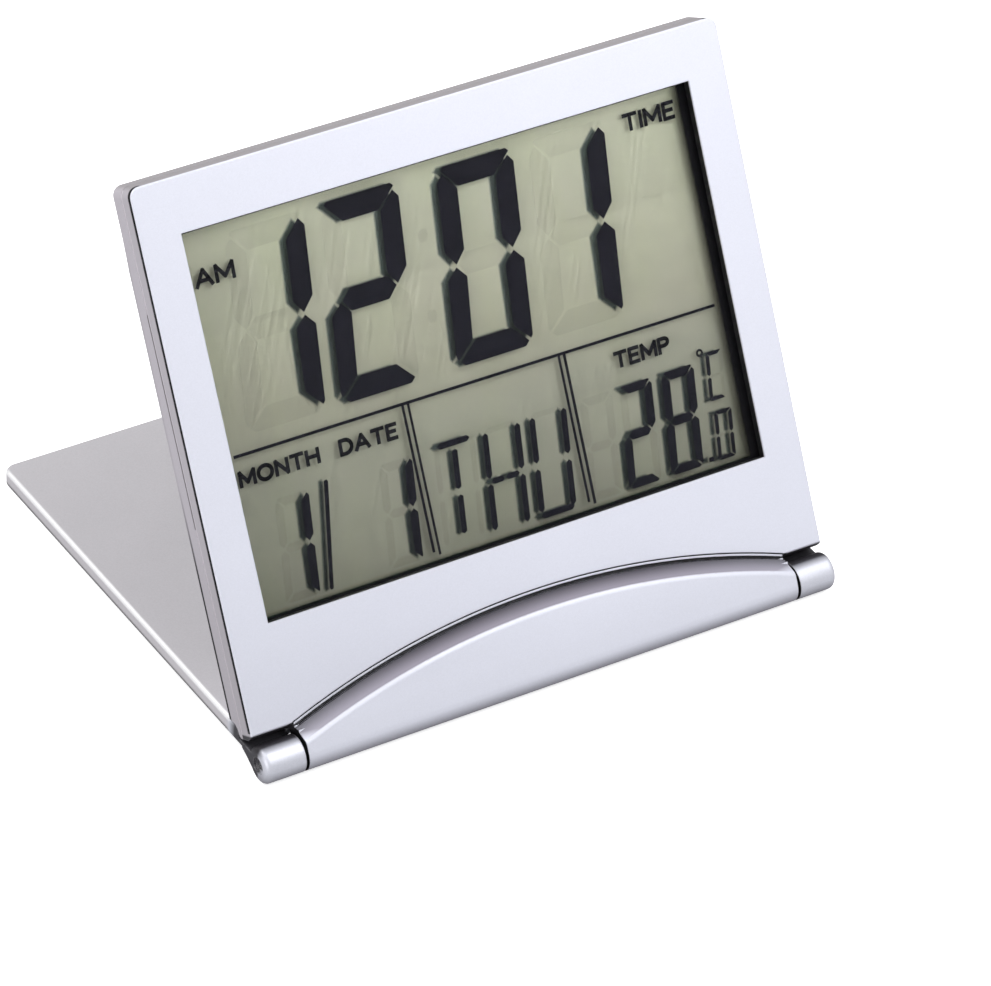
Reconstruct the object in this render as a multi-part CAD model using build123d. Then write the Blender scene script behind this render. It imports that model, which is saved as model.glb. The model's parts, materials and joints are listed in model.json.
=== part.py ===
from build123d import *
import math
import os

os.makedirs("parts", exist_ok=True)

# Folding digital travel alarm clock, modelled open: a display housing leans back on a flat
# stand cover, and one barrel hinge joins them.
#
# Housing frame: X right along the hinge, Y into the depth (front face at y = 0), Z up the
# front face from its bottom edge.
# Stand frame: X along the hinge, Y along the plate away from the hinge axis, Z towards the
# plate's outer, upward face; the hinge axis is the origin.
# Final frame: Z up with the table at z = 0, +Y towards the back, origin at the centre of
# the footprint.
#
# Cutting bodies run past the faces they cut by a loose margin.

# Housing
WIDTH = 83.0
HALF_W = WIDTH / 2
HEIGHT = 68.77              # height of the front face
RIM_Y = 5.3                 # depth at the rim
SEAM_Y = 2.6                # split between front bezel and rear case
TOE_Y = 11.6                # deepest point of the wedge-shaped back, at its lower edge
TOE_Z = 4.72                # nominal height of that point, sets the slope
WEDGE_TOP_Z = 60.3          # where the wedge meets the flat upper back
WEDGE_HALF_W = 36.6         # half width of the wedge face at the toe
FRONT_WALL = 1.1
REAR_WALL = 1.0
HOUSING_CORNER_R = 1.3      # the two upper corners
SIDES = (-1, 1)             # left, right

# Hinge
AXIS_Z = -3.8               # hinge axis in the housing frame, at y = 0
BARREL_R = 2.45
SPLIT_X = 35.85             # middle of the gap between barrel and knuckle
HALF_GAP = 0.22
BARREL_X = SPLIT_X - HALF_GAP
KNUCKLE_X = SPLIT_X + HALF_GAP
PIN_R = 0.8
PIN_CLEAR = 0.04            # running clearance in the barrel
OPEN_DEG = 26.6             # stand plate to the housing's depth direction

# Stand cover, heights above the hinge axis
COVER_OUT_Z = 2.35
COVER_IN_Z = 0.15
COVER_LENGTH = 67.25        # hinge axis to far edge
PAD_X, PAD_Y, PAD_R = 38.5, 63.1, 2.15
PAD_BOTTOM, PAD_TOP = 0.04, 0.98

# Arched lip below the display
ARC_R = 108.0
SEAM_APEX = 6.0             # arched seam in the face
LIP_APEX = 5.3              # raised lip
ARC_CLEAR = 0.16            # gap of the arched seam

# Display opening
WINDOW_X = 36.05
WINDOW_Z0, WINDOW_Z1 = 12.76, 61.84
WINDOW_LIP = 0.3            # thickness of the lip round the opening
REBATE = 0.7                # width of the rebate behind the lip

# Screws: x, z
CASE_SCREW_X, CASE_SCREW_Z = 37.0, 65.5
# x, z, radius of the bezel post
BOARD_POSTS = [(-37.0, 7.0, 1.5), (37.0, 7.0, 1.5), (-13.0, 7.6, 1.25), (13.0, 7.6, 1.25)]

# Main board and coin cell
BOARD_FRONT, BOARD_BACK = 3.95, 4.75
CELL_X, CELL_Z, CELL_R, CELL_T = 10.3, 24.3, 10.0, 2.5

# Keys
KEY_COLUMNS = {"inner": -16.8, "outer": -28.6}
KEY_ROWS = {"upper": 34.7, "middle": 23.2, "lower": 11.9}
KEY_R = 3.9
KEY_HOLE_R = 4.08
DOME_TOP = BOARD_BACK + 0.8     # keypad domes

# Battery hatch opening
HATCH_X0, HATCH_X1 = -2.7, 23.3
HATCH_Z0, HATCH_Z1 = 12.2, 36.6
HATCH_MID_X = (HATCH_X0 + HATCH_X1) / 2
NOTCH_R = 3.5
NOTCH_Z = HATCH_Z1 - 0.6

# Wedge face
WEDGE_SLOPE = math.atan2(TOE_Y - RIM_Y, WEDGE_TOP_Z - TOE_Z)
WEDGE_NORMAL = Vector(0, math.cos(WEDGE_SLOPE), math.sin(WEDGE_SLOPE))


# ---------------------------------------------------------------------------
# Shape helpers
# ---------------------------------------------------------------------------
def box(x_min, x_max, y_min, y_max, z_min, z_max):
    centre = Pos((x_min + x_max) / 2, (y_min + y_max) / 2, (z_min + z_max) / 2)
    return centre * Box(x_max - x_min, y_max - y_min, z_max - z_min)


def prism_x(points, x_min, x_max):
    """Closed polygon in (y, z), extruded along X."""
    plane = Plane(origin=(x_min, 0, 0), x_dir=(0, 1, 0), z_dir=(1, 0, 0))
    return extrude(plane * Polygon(*points, align=None), x_max - x_min, dir=(1, 0, 0))


def rod_x(y, z, radius, x_min, x_max):
    plane = Plane(origin=(x_min, y, z), x_dir=(0, 1, 0), z_dir=(1, 0, 0))
    return extrude(plane * Circle(radius), x_max - x_min)


def rod_y(x, z, radius, y_min, y_max):
    plane = Plane(origin=(x, y_min, z), x_dir=(1, 0, 0), z_dir=(0, 1, 0))
    return extrude(plane * Circle(radius), y_max - y_min)


def front_plane(x, y, z):
    """Plane facing -Y: local x = X, local y = Z."""
    return Plane(origin=(x, y, z), x_dir=(1, 0, 0), z_dir=(0, -1, 0))


def rounded_slab(x_min, x_max, z_min, z_max, radius, y_min, y_max):
    """Rounded rectangle in XZ, extruded along Y."""
    plane = front_plane((x_min + x_max) / 2, y_min, (z_min + z_max) / 2)
    outline = RectangleRounded(x_max - x_min, z_max - z_min, radius)
    return extrude(plane * outline, y_max - y_min, dir=(0, 1, 0))


def arch_sketch(apex, half_width, bottom):
    """Area below a shallow circular arc, in local x and y."""
    shoulder = apex - (ARC_R - math.sqrt(ARC_R ** 2 - half_width * half_width))
    return make_face(Curve() + [
        Line((-half_width, bottom), (half_width, bottom)),
        Line((half_width, bottom), (half_width, shoulder)),
        ThreePointArc((half_width, shoulder), (0, apex), (-half_width, shoulder)),
        Line((-half_width, shoulder), (-half_width, bottom)),
    ])


def arch_face(apex, half_width, bottom, y):
    return front_plane(0, y, 0) * arch_sketch(apex, half_width, bottom)


def arch_body(apex, half_width, bottom, y_min, y_max):
    face = arch_face(apex, half_width, bottom, y_min)
    return extrude(face, y_max - y_min, dir=(0, 1, 0))


def wedge_y(z):
    """Depth of the wedge face at height z."""
    return TOE_Y - (z - TOE_Z) * math.tan(WEDGE_SLOPE)


def wedge_plane(x, z, offset=0.0):
    """Plane on the wedge face, moved outwards by offset: local y runs up the slope."""
    origin = Vector(x, wedge_y(z), z) + WEDGE_NORMAL * offset
    return Plane(origin=origin, x_dir=(-1, 0, 0), z_dir=WEDGE_NORMAL)


def wedge_disc(x, z, radius, low, high):
    """Cylinder square to the wedge face, between two offsets from it."""
    return extrude(wedge_plane(x, z, low) * Circle(radius), high - low)


def wedge_block(x_min, x_max, z_min, z_max, low, high, radius=0.0):
    """Block square to the wedge face, between two offsets from it."""
    plane = wedge_plane((x_min + x_max) / 2, (z_min + z_max) / 2, low)
    length = (z_max - z_min) / math.cos(WEDGE_SLOPE)
    width = x_max - x_min
    outline = RectangleRounded(width, length, radius) if radius > 0 else Rectangle(width, length)
    return extrude(plane * outline, high - low)


def side_span(side, inner, outer):
    """X limits, in rising order, of a stretch on the left (-1) or right (+1)."""
    return sorted((side * inner, side * outer))


def circles(shape):
    return [edge for edge in shape.edges() if edge.geom_type == GeomType.CIRCLE]


def rear_circle(shape):
    """The circular edge furthest towards +Y."""
    return sorted(circles(shape), key=lambda edge: edge.center().Y)[-1:]


def safe_fillet(shape, edges, radius):
    """Fillet with the largest share of the radius that works, else leave the shape sharp."""
    for share in (1.0, 0.8, 0.6, 0.4):
        # guards against a radius the kernel cannot roll along these edges
        try:
            result = fillet(edges, radius * share)
            if result.is_valid and result.volume > 0.5 * shape.volume:
                return result
        except Exception:
            pass
    return shape


def largest_solid(shape):
    return sorted(shape.solids(), key=lambda solid: solid.volume)[-1]


def plate_height(y, clearance):
    """Housing height of a line parallel to the open stand plate's outer face."""
    angle = math.radians(OPEN_DEG)
    return AXIS_Z + (COVER_OUT_Z + clearance + y * math.sin(angle)) / math.cos(angle)


# ---------------------------------------------------------------------------
# Housing body, split into bezel and rear case
# ---------------------------------------------------------------------------
TOE_CUT_Z = plate_height(TOE_Y, 0.03)     # lower edge of the wedge face

# side profile (y, z); the underside clears the knuckles and the open stand plate
HOUSING_PROFILE = [
    (0.0, 0.0), (0.35, -0.35), (1.2, -0.75), (3.05, -0.75),
    (3.42, -0.45), (3.58, 0.32), (3.98, 1.02),
    (RIM_Y, plate_height(RIM_Y, 0.06)), (TOE_Y, TOE_CUT_Z),
    (RIM_Y, WEDGE_TOP_Z), (RIM_Y, HEIGHT), (0.0, HEIGHT),
]


def housing_body():
    body = prism_x(HOUSING_PROFILE, -HALF_W, HALF_W)
    top_edges = body.edges().filter_by(Axis.Y).group_by(Axis.Z)[-1]
    return safe_fillet(body, top_edges, HOUSING_CORNER_R)


def inset_outline(inset, y_min, y_max):
    """Front outline of the housing shrunk by inset, open at the bottom."""
    return rounded_slab(-HALF_W + inset, HALF_W - inset, -60, HEIGHT - inset,
                        HOUSING_CORNER_R - inset, y_min, y_max)


# ---------------------------------------------------------------------------
# Front bezel
# ---------------------------------------------------------------------------
FACE_EDGE_R = 0.18
FACE_GAP_Y0, FACE_GAP_Y1 = 0.22, 0.68
FACE_GAP_DEPTH = 0.35
CASE_PILOT_R = 0.72
BOARD_PILOT_R = 0.62
POST_END_Y = 3.92


def front_bezel(body):
    bezel = body & box(-50, 50, -1, SEAM_Y, -5, 80)
    face_edges = [edge for edge in bezel.edges()
                  if abs(edge.center().Y) < 1e-4 and edge.center().Z > 1.0]
    bezel = safe_fillet(bezel, face_edges, FACE_EDGE_R)

    # shadow gap behind the face, on the side walls and round the upper corners
    gap = (box(-50, 50, FACE_GAP_Y0, FACE_GAP_Y1, 0.3, 80)
           - inset_outline(FACE_GAP_DEPTH, FACE_GAP_Y0 - 0.2, FACE_GAP_Y1 + 0.2))
    gap = gap - box(-HALF_W + 1.6, HALF_W - 1.6, -1, 3, -10, 90)
    bezel = bezel - gap

    # hollow behind the front wall
    bezel = bezel - box(-HALF_W + 1.3, HALF_W - 1.3, FRONT_WALL, SEAM_Y + 1,
                        0.55, HEIGHT - 1.3)
    # display opening, then the rebate for the collar of the display frame
    bezel = bezel - box(-WINDOW_X, WINDOW_X, -1, FRONT_WALL + 1, WINDOW_Z0, WINDOW_Z1)
    bezel = bezel - box(-WINDOW_X - REBATE, WINDOW_X + REBATE, WINDOW_LIP, FRONT_WALL + 1,
                        WINDOW_Z0 - REBATE, WINDOW_Z1 + REBATE)
    # arched seat of the hinge lip
    bezel = bezel - arch_body(SEAM_APEX + ARC_CLEAR, BARREL_X + 0.12, -5, -1, 4)

    # bosses for the two upper case screws
    for side in SIDES:
        x = side * CASE_SCREW_X
        bezel = bezel + rod_y(x, CASE_SCREW_Z, 1.55, FRONT_WALL - 0.05, SEAM_Y - 0.02)
        bezel = bezel - rod_y(x, CASE_SCREW_Z, CASE_PILOT_R, FRONT_WALL + 0.25, 5)
    # posts for the board screws
    for x, z, radius in BOARD_POSTS:
        bezel = bezel + rod_y(x, z, radius, FRONT_WALL - 0.05, POST_END_Y)
        bezel = bezel - rod_y(x, z, BOARD_PILOT_R, FRONT_WALL + 0.4, 5)
    return largest_solid(bezel)


# ---------------------------------------------------------------------------
# Hinge lip: tongue in the face, raised arched lip and middle barrel
# ---------------------------------------------------------------------------
TONGUE_BACK = FRONT_WALL + 0.6
LIP_FRONT_APEX = 3.75       # apex of the lip at its front face
LIP_STEP_Y = -0.35          # where the sloped top starts
LIP_BOTTOM = AXIS_Z - 0.5
GROOVE_BOTTOM = 0.45        # height where the groove starts
LIP_EDGE_R = 0.7
PIN_HOLE_DEPTH = 8.2

# web between barrel and tongue (y, z)
WEB_PROFILE = [
    (-1.0, AXIS_Z), (1.55, AXIS_Z + 1.9), (TONGUE_BACK, -1.0), (TONGUE_BACK, -0.5),
    (0.0, -0.5), (0.0, -0.9), (-1.0, -0.9),
]


def hinge_lip():
    tongue = arch_body(SEAM_APEX, BARREL_X, -1.0, 0.0, TONGUE_BACK)
    foot = loft([arch_face(LIP_APEX, BARREL_X, LIP_BOTTOM, 0.05),
                 arch_face(LIP_APEX, BARREL_X, LIP_BOTTOM, LIP_STEP_Y)], ruled=True)
    slope = loft([arch_face(LIP_APEX, BARREL_X, LIP_BOTTOM, LIP_STEP_Y),
                  arch_face(LIP_FRONT_APEX, BARREL_X, LIP_BOTTOM, -BARREL_R)], ruled=True)
    raised = (foot + slope) & box(-50, 50, -BARREL_R, 0.05, AXIS_Z, 20)
    barrel = rod_x(0, AXIS_Z, BARREL_R, -BARREL_X, BARREL_X)
    web = prism_x(WEB_PROFILE, -BARREL_X, BARREL_X)
    lip = barrel + raised + web + tongue
    # both ends flush
    lip = lip & box(-BARREL_X, BARREL_X, -10, 10, -20, 20)

    # arched groove above the raised lip
    lip = lip - (arch_body(SEAM_APEX - 0.27, BARREL_X + 1, -0.5, -0.1, GROOVE_BOTTOM)
                 - arch_body(LIP_APEX - 0.01, BARREL_X + 1.5, -1.5, -0.2,
                             GROOVE_BOTTOM + 0.2))
    front_edges = [edge for edge in lip.edges()
                   if abs(edge.center().Y + BARREL_R) < 0.02
                   and edge.center().Z > 2.0 and edge.length > 40]
    lip = safe_fillet(lip, front_edges, LIP_EDGE_R)
    for side in SIDES:
        lip = lip - rod_x(0, AXIS_Z, PIN_R + PIN_CLEAR,
                          *side_span(side, BARREL_X - PIN_HOLE_DEPTH, BARREL_X + 1))
    return largest_solid(lip)


# ---------------------------------------------------------------------------
# Rear case
# ---------------------------------------------------------------------------
SEAM_GROOVE = 0.13          # depth of the shadow gap along the seam
REAR_EDGE_R = 0.45
RESET_X, RESET_Z = -6.2, 34.6


def outside_facet(side, inset=0.0):
    """Block outside the sloped side facet.

    The facet runs through the rim edge and the lower corner of the wedge face.
    """
    rim_top = Vector(side * HALF_W, RIM_Y, WEDGE_TOP_Z - 1.0)
    rim_bottom = Vector(side * HALF_W, RIM_Y, TOE_CUT_Z)
    toe_corner = Vector(side * WEDGE_HALF_W, wedge_y(TOE_CUT_Z), TOE_CUT_Z)
    normal = (rim_bottom - rim_top).cross(toe_corner - rim_top).normalized()
    if normal.Y < 0:
        normal = normal * -1
    plane = Plane(origin=rim_top - normal * inset, z_dir=normal)
    return extrude(plane * Rectangle(300, 300), 60)


def rear_edges(solid):
    """Outer edges of the back: rim, facets, wedge and toe."""
    return [edge for edge in solid.edges()
            if edge.center().Y >= RIM_Y - 0.05
            and edge.center().Z >= TOE_CUT_Z - 0.3
            and edge.length >= 0.3]


def round_rear_edges(case):
    """Round all rear edges, or all but those at the toe; else leave them sharp."""
    for lowest in (-math.inf, TOE_CUT_Z + 0.3):
        for share in (1.0, 0.7, 0.5):
            # guards against edge sets and radii the kernel cannot fillet
            try:
                edges = [edge for edge in rear_edges(case) if edge.center().Z > lowest]
                result = fillet(edges, REAR_EDGE_R * share)
                if result.is_valid and result.volume > 0.95 * case.volume:
                    return result
            except Exception:
                pass
    return case


def case_hollow():
    """Smaller copy of the rear form, its wedge parallel to the outer one."""
    wall_y = REAR_WALL / math.cos(WEDGE_SLOPE)
    clearance = REAR_WALL + 0.05
    low_z = plate_height(TOE_Y - REAR_WALL - 0.35, clearance)
    high_z = WEDGE_TOP_Z - 0.4
    profile = [
        (SEAM_Y - 1, 0.6), (3.0, 0.6), (4.6, plate_height(4.6, clearance)),
        (wedge_y(low_z) - wall_y, low_z), (wedge_y(high_z) - wall_y, high_z),
        (RIM_Y - REAR_WALL, HEIGHT - 1.3), (SEAM_Y - 1, HEIGHT - 1.3),
    ]
    hollow = prism_x(profile, -HALF_W + 1.2, HALF_W - 1.2)
    for side in SIDES:
        hollow = hollow - outside_facet(side, REAR_WALL)
    return hollow


def rear_case(body):
    case = body & box(-50, 50, SEAM_Y, 20, -5, 80)
    # shadow gap along the seam
    case = case - (box(-50, 50, SEAM_Y - 0.05, SEAM_Y + 0.15, -6, 80)
                   - inset_outline(SEAM_GROOVE, SEAM_Y - 0.2, SEAM_Y + 0.4))
    for side in SIDES:
        case = case - (outside_facet(side) & box(-60, 60, RIM_Y, 40, -20, WEDGE_TOP_Z + 20))
    case = round_rear_edges(largest_solid(case))
    case = case - case_hollow()

    # upper screw bosses with head recesses
    for side in SIDES:
        x = side * CASE_SCREW_X
        case = case + rod_y(x, CASE_SCREW_Z, 1.7, SEAM_Y + 0.05, RIM_Y - 0.3)
        case = case - rod_y(x, CASE_SCREW_Z, 1.45, 4.35, 9)
        case = case - rod_y(x, CASE_SCREW_Z, 0.82, 0, 9)

    for key_z in KEY_ROWS.values():
        for key_x in KEY_COLUMNS.values():
            case = case - wedge_disc(key_x, key_z, KEY_HOLE_R, -3, 2)

    # reset hole in a shallow dimple
    case = case - wedge_disc(RESET_X, RESET_Z, 1.7, -0.35, 2)
    case = case - wedge_disc(RESET_X, RESET_Z, 0.55, -3, 2)

    # hatch opening with a half-moon nail notch above it
    case = case - wedge_block(HATCH_X0, HATCH_X1, HATCH_Z0, HATCH_Z1, -4.0, 2.0, 1.2)
    case = case - wedge_disc(HATCH_MID_X, NOTCH_Z, NOTCH_R, -0.55, 2)

    # sound slot at the seam of the left side wall
    case = case - box(-HALF_W - 1, -HALF_W + 3, SEAM_Y - 0.01, SEAM_Y + 0.32, 26.0, 53.0)
    return largest_solid(case)


# ---------------------------------------------------------------------------
# Battery hatch
# ---------------------------------------------------------------------------
HATCH_CLEAR = 0.12
HATCH_T = 1.2
HATCH_TONGUES_X = (1.2, 19.4)
TONGUE_HALF_W = 1.6


def battery_door():
    door = wedge_block(HATCH_X0 + HATCH_CLEAR, HATCH_X1 - HATCH_CLEAR,
                       HATCH_Z0 + HATCH_CLEAR, HATCH_Z1 - HATCH_CLEAR, -HATCH_T, 0.0, 1.1)
    # tongues that reach under the case wall at the lower edge, each on a short root
    for x in HATCH_TONGUES_X:
        x_min, x_max = x - TONGUE_HALF_W, x + TONGUE_HALF_W
        door = door + wedge_block(x_min, x_max, HATCH_Z0 - 1.0, HATCH_Z0 + 2.2, -1.85, -1.25)
        door = door + wedge_block(x_min, x_max, HATCH_Z0 + 0.4, HATCH_Z0 + 2.2, -1.4, -1.1)
    # relief that continues the nail notch, filled again below its upper part
    door = door - wedge_disc(HATCH_MID_X, NOTCH_Z, NOTCH_R, -0.35, 2)
    door = door + wedge_block(HATCH_MID_X - 5, HATCH_MID_X + 5,
                              HATCH_Z1 - 5.5, HATCH_Z1 - 1.6, -1.0, 0.0)
    # outer face flush with the wedge face
    door = door & wedge_block(-60, 60, -20, 80, -3, 0.0)
    return largest_solid(door)


# ---------------------------------------------------------------------------
# Display stack
# ---------------------------------------------------------------------------
FRAME_X, FRAME_Z0, FRAME_Z1 = 39.4, 9.15, 63.75
COLLAR_INSET = REBATE - 0.05    # collar beyond the opening, 0.05 short of the rebate
FRAME_OPENING_CLEAR = 0.07

# half width, y from, y to, z from, z to
DISPLAY_LAYERS = {
    "display_window": (36.5, 1.52, 2.02, 12.4, 62.2),
    "lcd_front_polariser": (36.9, 2.07, 2.22, 12.2, 62.4),
    "lcd_front_glass": (37.4, 2.22, 2.92, 9.75, 63.2),
    "lcd_rear_glass": (37.4, 2.92, 3.62, 12.4, 63.2),
    "lcd_reflector": (36.9, 3.62, 3.78, 12.6, 62.4),
}


def display_frame():
    frame = box(-FRAME_X, FRAME_X, FRONT_WALL, 2.05, FRAME_Z0, FRAME_Z1)
    frame = frame + box(-WINDOW_X - COLLAR_INSET, WINDOW_X + COLLAR_INSET,
                        WINDOW_LIP, FRONT_WALL + 0.1,
                        WINDOW_Z0 - COLLAR_INSET, WINDOW_Z1 + COLLAR_INSET)
    frame = frame + box(-FRAME_X, FRAME_X, 2.0, 3.9, FRAME_Z0, FRAME_Z1)
    opening_x = WINDOW_X + FRAME_OPENING_CLEAR
    frame = frame - box(-opening_x, opening_x, -1, 5,
                        WINDOW_Z0 - FRAME_OPENING_CLEAR, WINDOW_Z1 + FRAME_OPENING_CLEAR)
    # pockets of the window and of the glass
    frame = frame - box(-36.6, 36.6, 1.5, 5, 12.3, 62.3)
    frame = frame - box(-37.6, 37.6, 2.05, 5, 9.55, 63.35)
    return largest_solid(frame)


def zebra_strip():
    """Contact strip between the front glass and the board."""
    strip = box(-34.0, 34.0, 2.94, 3.93, 10.0, 12.0)
    return safe_fillet(strip, strip.edges().filter_by(Axis.X), 0.15)


# ---------------------------------------------------------------------------
# Electronics
# ---------------------------------------------------------------------------
CHIP_X, CHIP_Z = 24.0, 43.5
CHIP_SPHERE_R, CHIP_HEIGHT = 10.0, 0.95
CRYSTAL_Y, CRYSTAL_Z = 6.0, 13.0
BEAD_X, BEAD_Y, BEAD_Z = 33.5, 6.3, 24.0
BUZZER_X, BUZZER_Z = -29.3, 47.6
LEAD_R = 0.22
# x offset at the buzzer, x and z at the board end
BUZZER_LEADS = [(-1.6, -14.0, 41.6), (1.6, -11.0, 42.2)]


def main_board():
    board = rounded_slab(-38.6, 38.6, 4.9, 50.0, 1.0, BOARD_FRONT, BOARD_BACK)
    board = board - rod_y(CELL_X, CELL_Z, CELL_R + 0.9, 0, 9)
    for x, z, _ in BOARD_POSTS:
        board = board - rod_y(x, z, 0.82, 0, 9)
    return largest_solid(board)


def clock_chip():
    """Low epoxy dome."""
    sphere = Pos(CHIP_X, BOARD_BACK + CHIP_HEIGHT - CHIP_SPHERE_R, CHIP_Z)
    dome = sphere * Sphere(CHIP_SPHERE_R)
    return largest_solid(dome & box(0, 50, BOARD_BACK, 9, 20, 60))


def quartz_crystal():
    """Can lying along X, with two bent legs."""
    crystal = rod_x(CRYSTAL_Y, CRYSTAL_Z, 1.0, 26.5, 32.5)
    for offset in (-0.35, 0.35):
        leg_z = CRYSTAL_Z + offset
        leg = (rod_x(CRYSTAL_Y, leg_z, 0.15, 24.6, 26.6)
               + rod_y(24.7, leg_z, 0.15, BOARD_BACK, 6.1))
        crystal = crystal + leg
    return largest_solid(crystal)


def thermistor():
    """Bead on two wires."""
    bead = Pos(BEAD_X, BEAD_Y, BEAD_Z) * Sphere(0.8)
    for offset in (-0.4, 0.4):
        bead = bead + rod_y(BEAD_X, BEAD_Z + offset, 0.14, BOARD_BACK, 6.2)
    return largest_solid(bead)


def buzzer_disc():
    """Two-step disc on the inner side of the wedge wall."""
    disc = wedge_disc(BUZZER_X, BUZZER_Z, 7.4, -REAR_WALL - 0.3, -REAR_WALL - 0.02)
    disc = disc + wedge_disc(BUZZER_X, BUZZER_Z, 5.2, -REAR_WALL - 0.48, -REAR_WALL - 0.3)
    return largest_solid(disc)


def buzzer_leads():
    leads = []
    for offset, end_x, end_z in BUZZER_LEADS:
        start_x = BUZZER_X + offset + 6.0
        start_z = 44.6 + offset * 0.45
        path = Spline(
            (start_x, 5.30, start_z),
            (start_x + 3.5, 5.22, start_z - 0.8),
            (end_x - 2.5, 5.2, end_z + 0.4),
            (end_x, 5.12, end_z),
        )
        section = Plane(origin=path @ 0, z_dir=path % 0) * Circle(LEAD_R)
        leads.append(largest_solid(sweep(section, path=path)))
    return Compound(children=leads)


# ---------------------------------------------------------------------------
# Coin cell and contacts
# ---------------------------------------------------------------------------
CELL_OUTER = -1.5                   # offsets of the cell's faces from the wedge face
CELL_INNER = CELL_OUTER - CELL_T
CAP_R = 8.3
CONTACT_T = 0.2

# leaf contact below the cell (y, z)
NEGATIVE_PROFILE = [
    (BOARD_BACK, 9.2), (BOARD_BACK + CONTACT_T, 9.2), (BOARD_BACK + CONTACT_T, 13.4),
    (5.85, 18.0), (5.65, 21.5), (5.45, 21.5), (5.65, 18.0), (BOARD_BACK, 13.4),
]


def coin_cell():
    cell = wedge_disc(CELL_X, CELL_Z, CELL_R, CELL_INNER, CELL_OUTER)
    cell = safe_fillet(cell, circles(cell), 0.25)
    # step of the negative cap on the inner side
    step = (wedge_disc(CELL_X, CELL_Z, CELL_R + 1, CELL_INNER - 0.1, CELL_INNER + 0.28)
            - wedge_disc(CELL_X, CELL_Z, CAP_R, CELL_INNER - 0.2, CELL_INNER + 0.3))
    return largest_solid(cell - step)


def negative_contact():
    return largest_solid(prism_x(NEGATIVE_PROFILE, CELL_X - 2.0, CELL_X + 2.0))


def positive_contact():
    """Angle at the right rim of the cell, its foot on the board."""
    x = CELL_X + CELL_R + 0.06
    z_min, z_max = CELL_Z - 2.2, CELL_Z + 2.2
    clip = box(x, x + CONTACT_T, BOARD_BACK, 7.7, z_min, z_max)
    clip = clip + box(x, x + 3.4, BOARD_BACK, BOARD_BACK + CONTACT_T, z_min, z_max)
    return largest_solid(clip)


# ---------------------------------------------------------------------------
# Keys
# ---------------------------------------------------------------------------
KEY_TRAVEL = 0.5
KEY_PROUD = 0.75            # cap above the wedge face
DISH_R, DISH_DEPTH = 15.0, 0.25
PLUNGER_GAP = 0.32          # left above the dome at full travel


def keypad_mat():
    """Silicone sheet with six domes."""
    mat = rounded_slab(-34.4, -11.2, 9.3, 39.3, 1.0, BOARD_BACK, BOARD_BACK + 0.4)
    for key_z in KEY_ROWS.values():
        for key_x in KEY_COLUMNS.values():
            mat = mat + rod_y(key_x, key_z, 2.0, BOARD_BACK + 0.3, DOME_TOP)
    return largest_solid(mat)


def button(x, z):
    """Dished cap, retaining flange inside the wall, and plunger."""
    cap = wedge_disc(x, z, KEY_R, -1.2, KEY_PROUD)
    cap = safe_fillet(cap, rear_circle(cap), 0.35)
    dish_centre = wedge_plane(x, z, KEY_PROUD + DISH_R - DISH_DEPTH).origin
    cap = cap - Location(dish_centre) * Sphere(DISH_R)
    key = cap + wedge_disc(x, z, 4.7, -1.75, -REAR_WALL - 0.05)
    reach = (wedge_y(z) - DOME_TOP) * math.cos(WEDGE_SLOPE) - KEY_TRAVEL - PLUNGER_GAP
    key = key + wedge_disc(x, z, 1.6, -reach, -1.7)
    return largest_solid(key)


# ---------------------------------------------------------------------------
# Screws
# ---------------------------------------------------------------------------
RECESS_DEPTH = 0.35
RECESS_HALF_W = 0.16


def screw(x, z, head_y, head_r, head_h, shank_r, tip_y):
    """Screw along Y, head towards +Y with a cross recess."""
    head = rod_y(x, z, head_r, head_y, head_y + head_h)
    head = safe_fillet(head, rear_circle(head), head_h * 0.35)
    body = head + rod_y(x, z, shank_r, tip_y, head_y + 0.05)
    top = head_y + head_h
    arm = head_r * 0.6
    for half_x, half_z in ((arm, RECESS_HALF_W), (RECESS_HALF_W, arm)):
        body = body - box(x - half_x, x + half_x, top - RECESS_DEPTH, top + 1,
                          z - half_z, z + half_z)
    return largest_solid(body)


def case_screws():
    return Compound(children=[
        screw(side * CASE_SCREW_X, CASE_SCREW_Z, head_y=4.36, head_r=1.3, head_h=0.75,
              shank_r=0.66, tip_y=1.5)
        for side in SIDES])


def board_screws():
    return Compound(children=[
        screw(x, z, head_y=BOARD_BACK + 0.01, head_r=1.2, head_h=0.6,
              shank_r=0.58, tip_y=1.8)
        for x, z, _ in BOARD_POSTS])


# ---------------------------------------------------------------------------
# Stand cover, pads and pins (stand frame)
# ---------------------------------------------------------------------------
PLATE_START = 2.6
PLATE_CORNER_R = 1.7
VALLEY_Z = 0.95             # floor of the valley between plate end and knuckles
PLATE_END_Y = 6.1           # centre of the rounded plate end
PLATE_END_R = 1.4
MOUTH_R, MOUTH_DEPTH = 1.15, 0.35   # widened mouth of the pin hole

# arm from knuckle to plate (y, z)
ARM_PROFILE = [
    (0.0, VALLEY_Z), (4.0, VALLEY_Z), (4.0, COVER_IN_Z),
    (2.9, -0.35), (1.5, -1.2), (0, -1.2),
]


def plate_edges(plate, z):
    """Edges of the plate at height z, away from the hinge."""
    return [edge for edge in plate.edges()
            if abs(edge.center().Z - z) < 1e-4 and edge.center().Y > 10]


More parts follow.
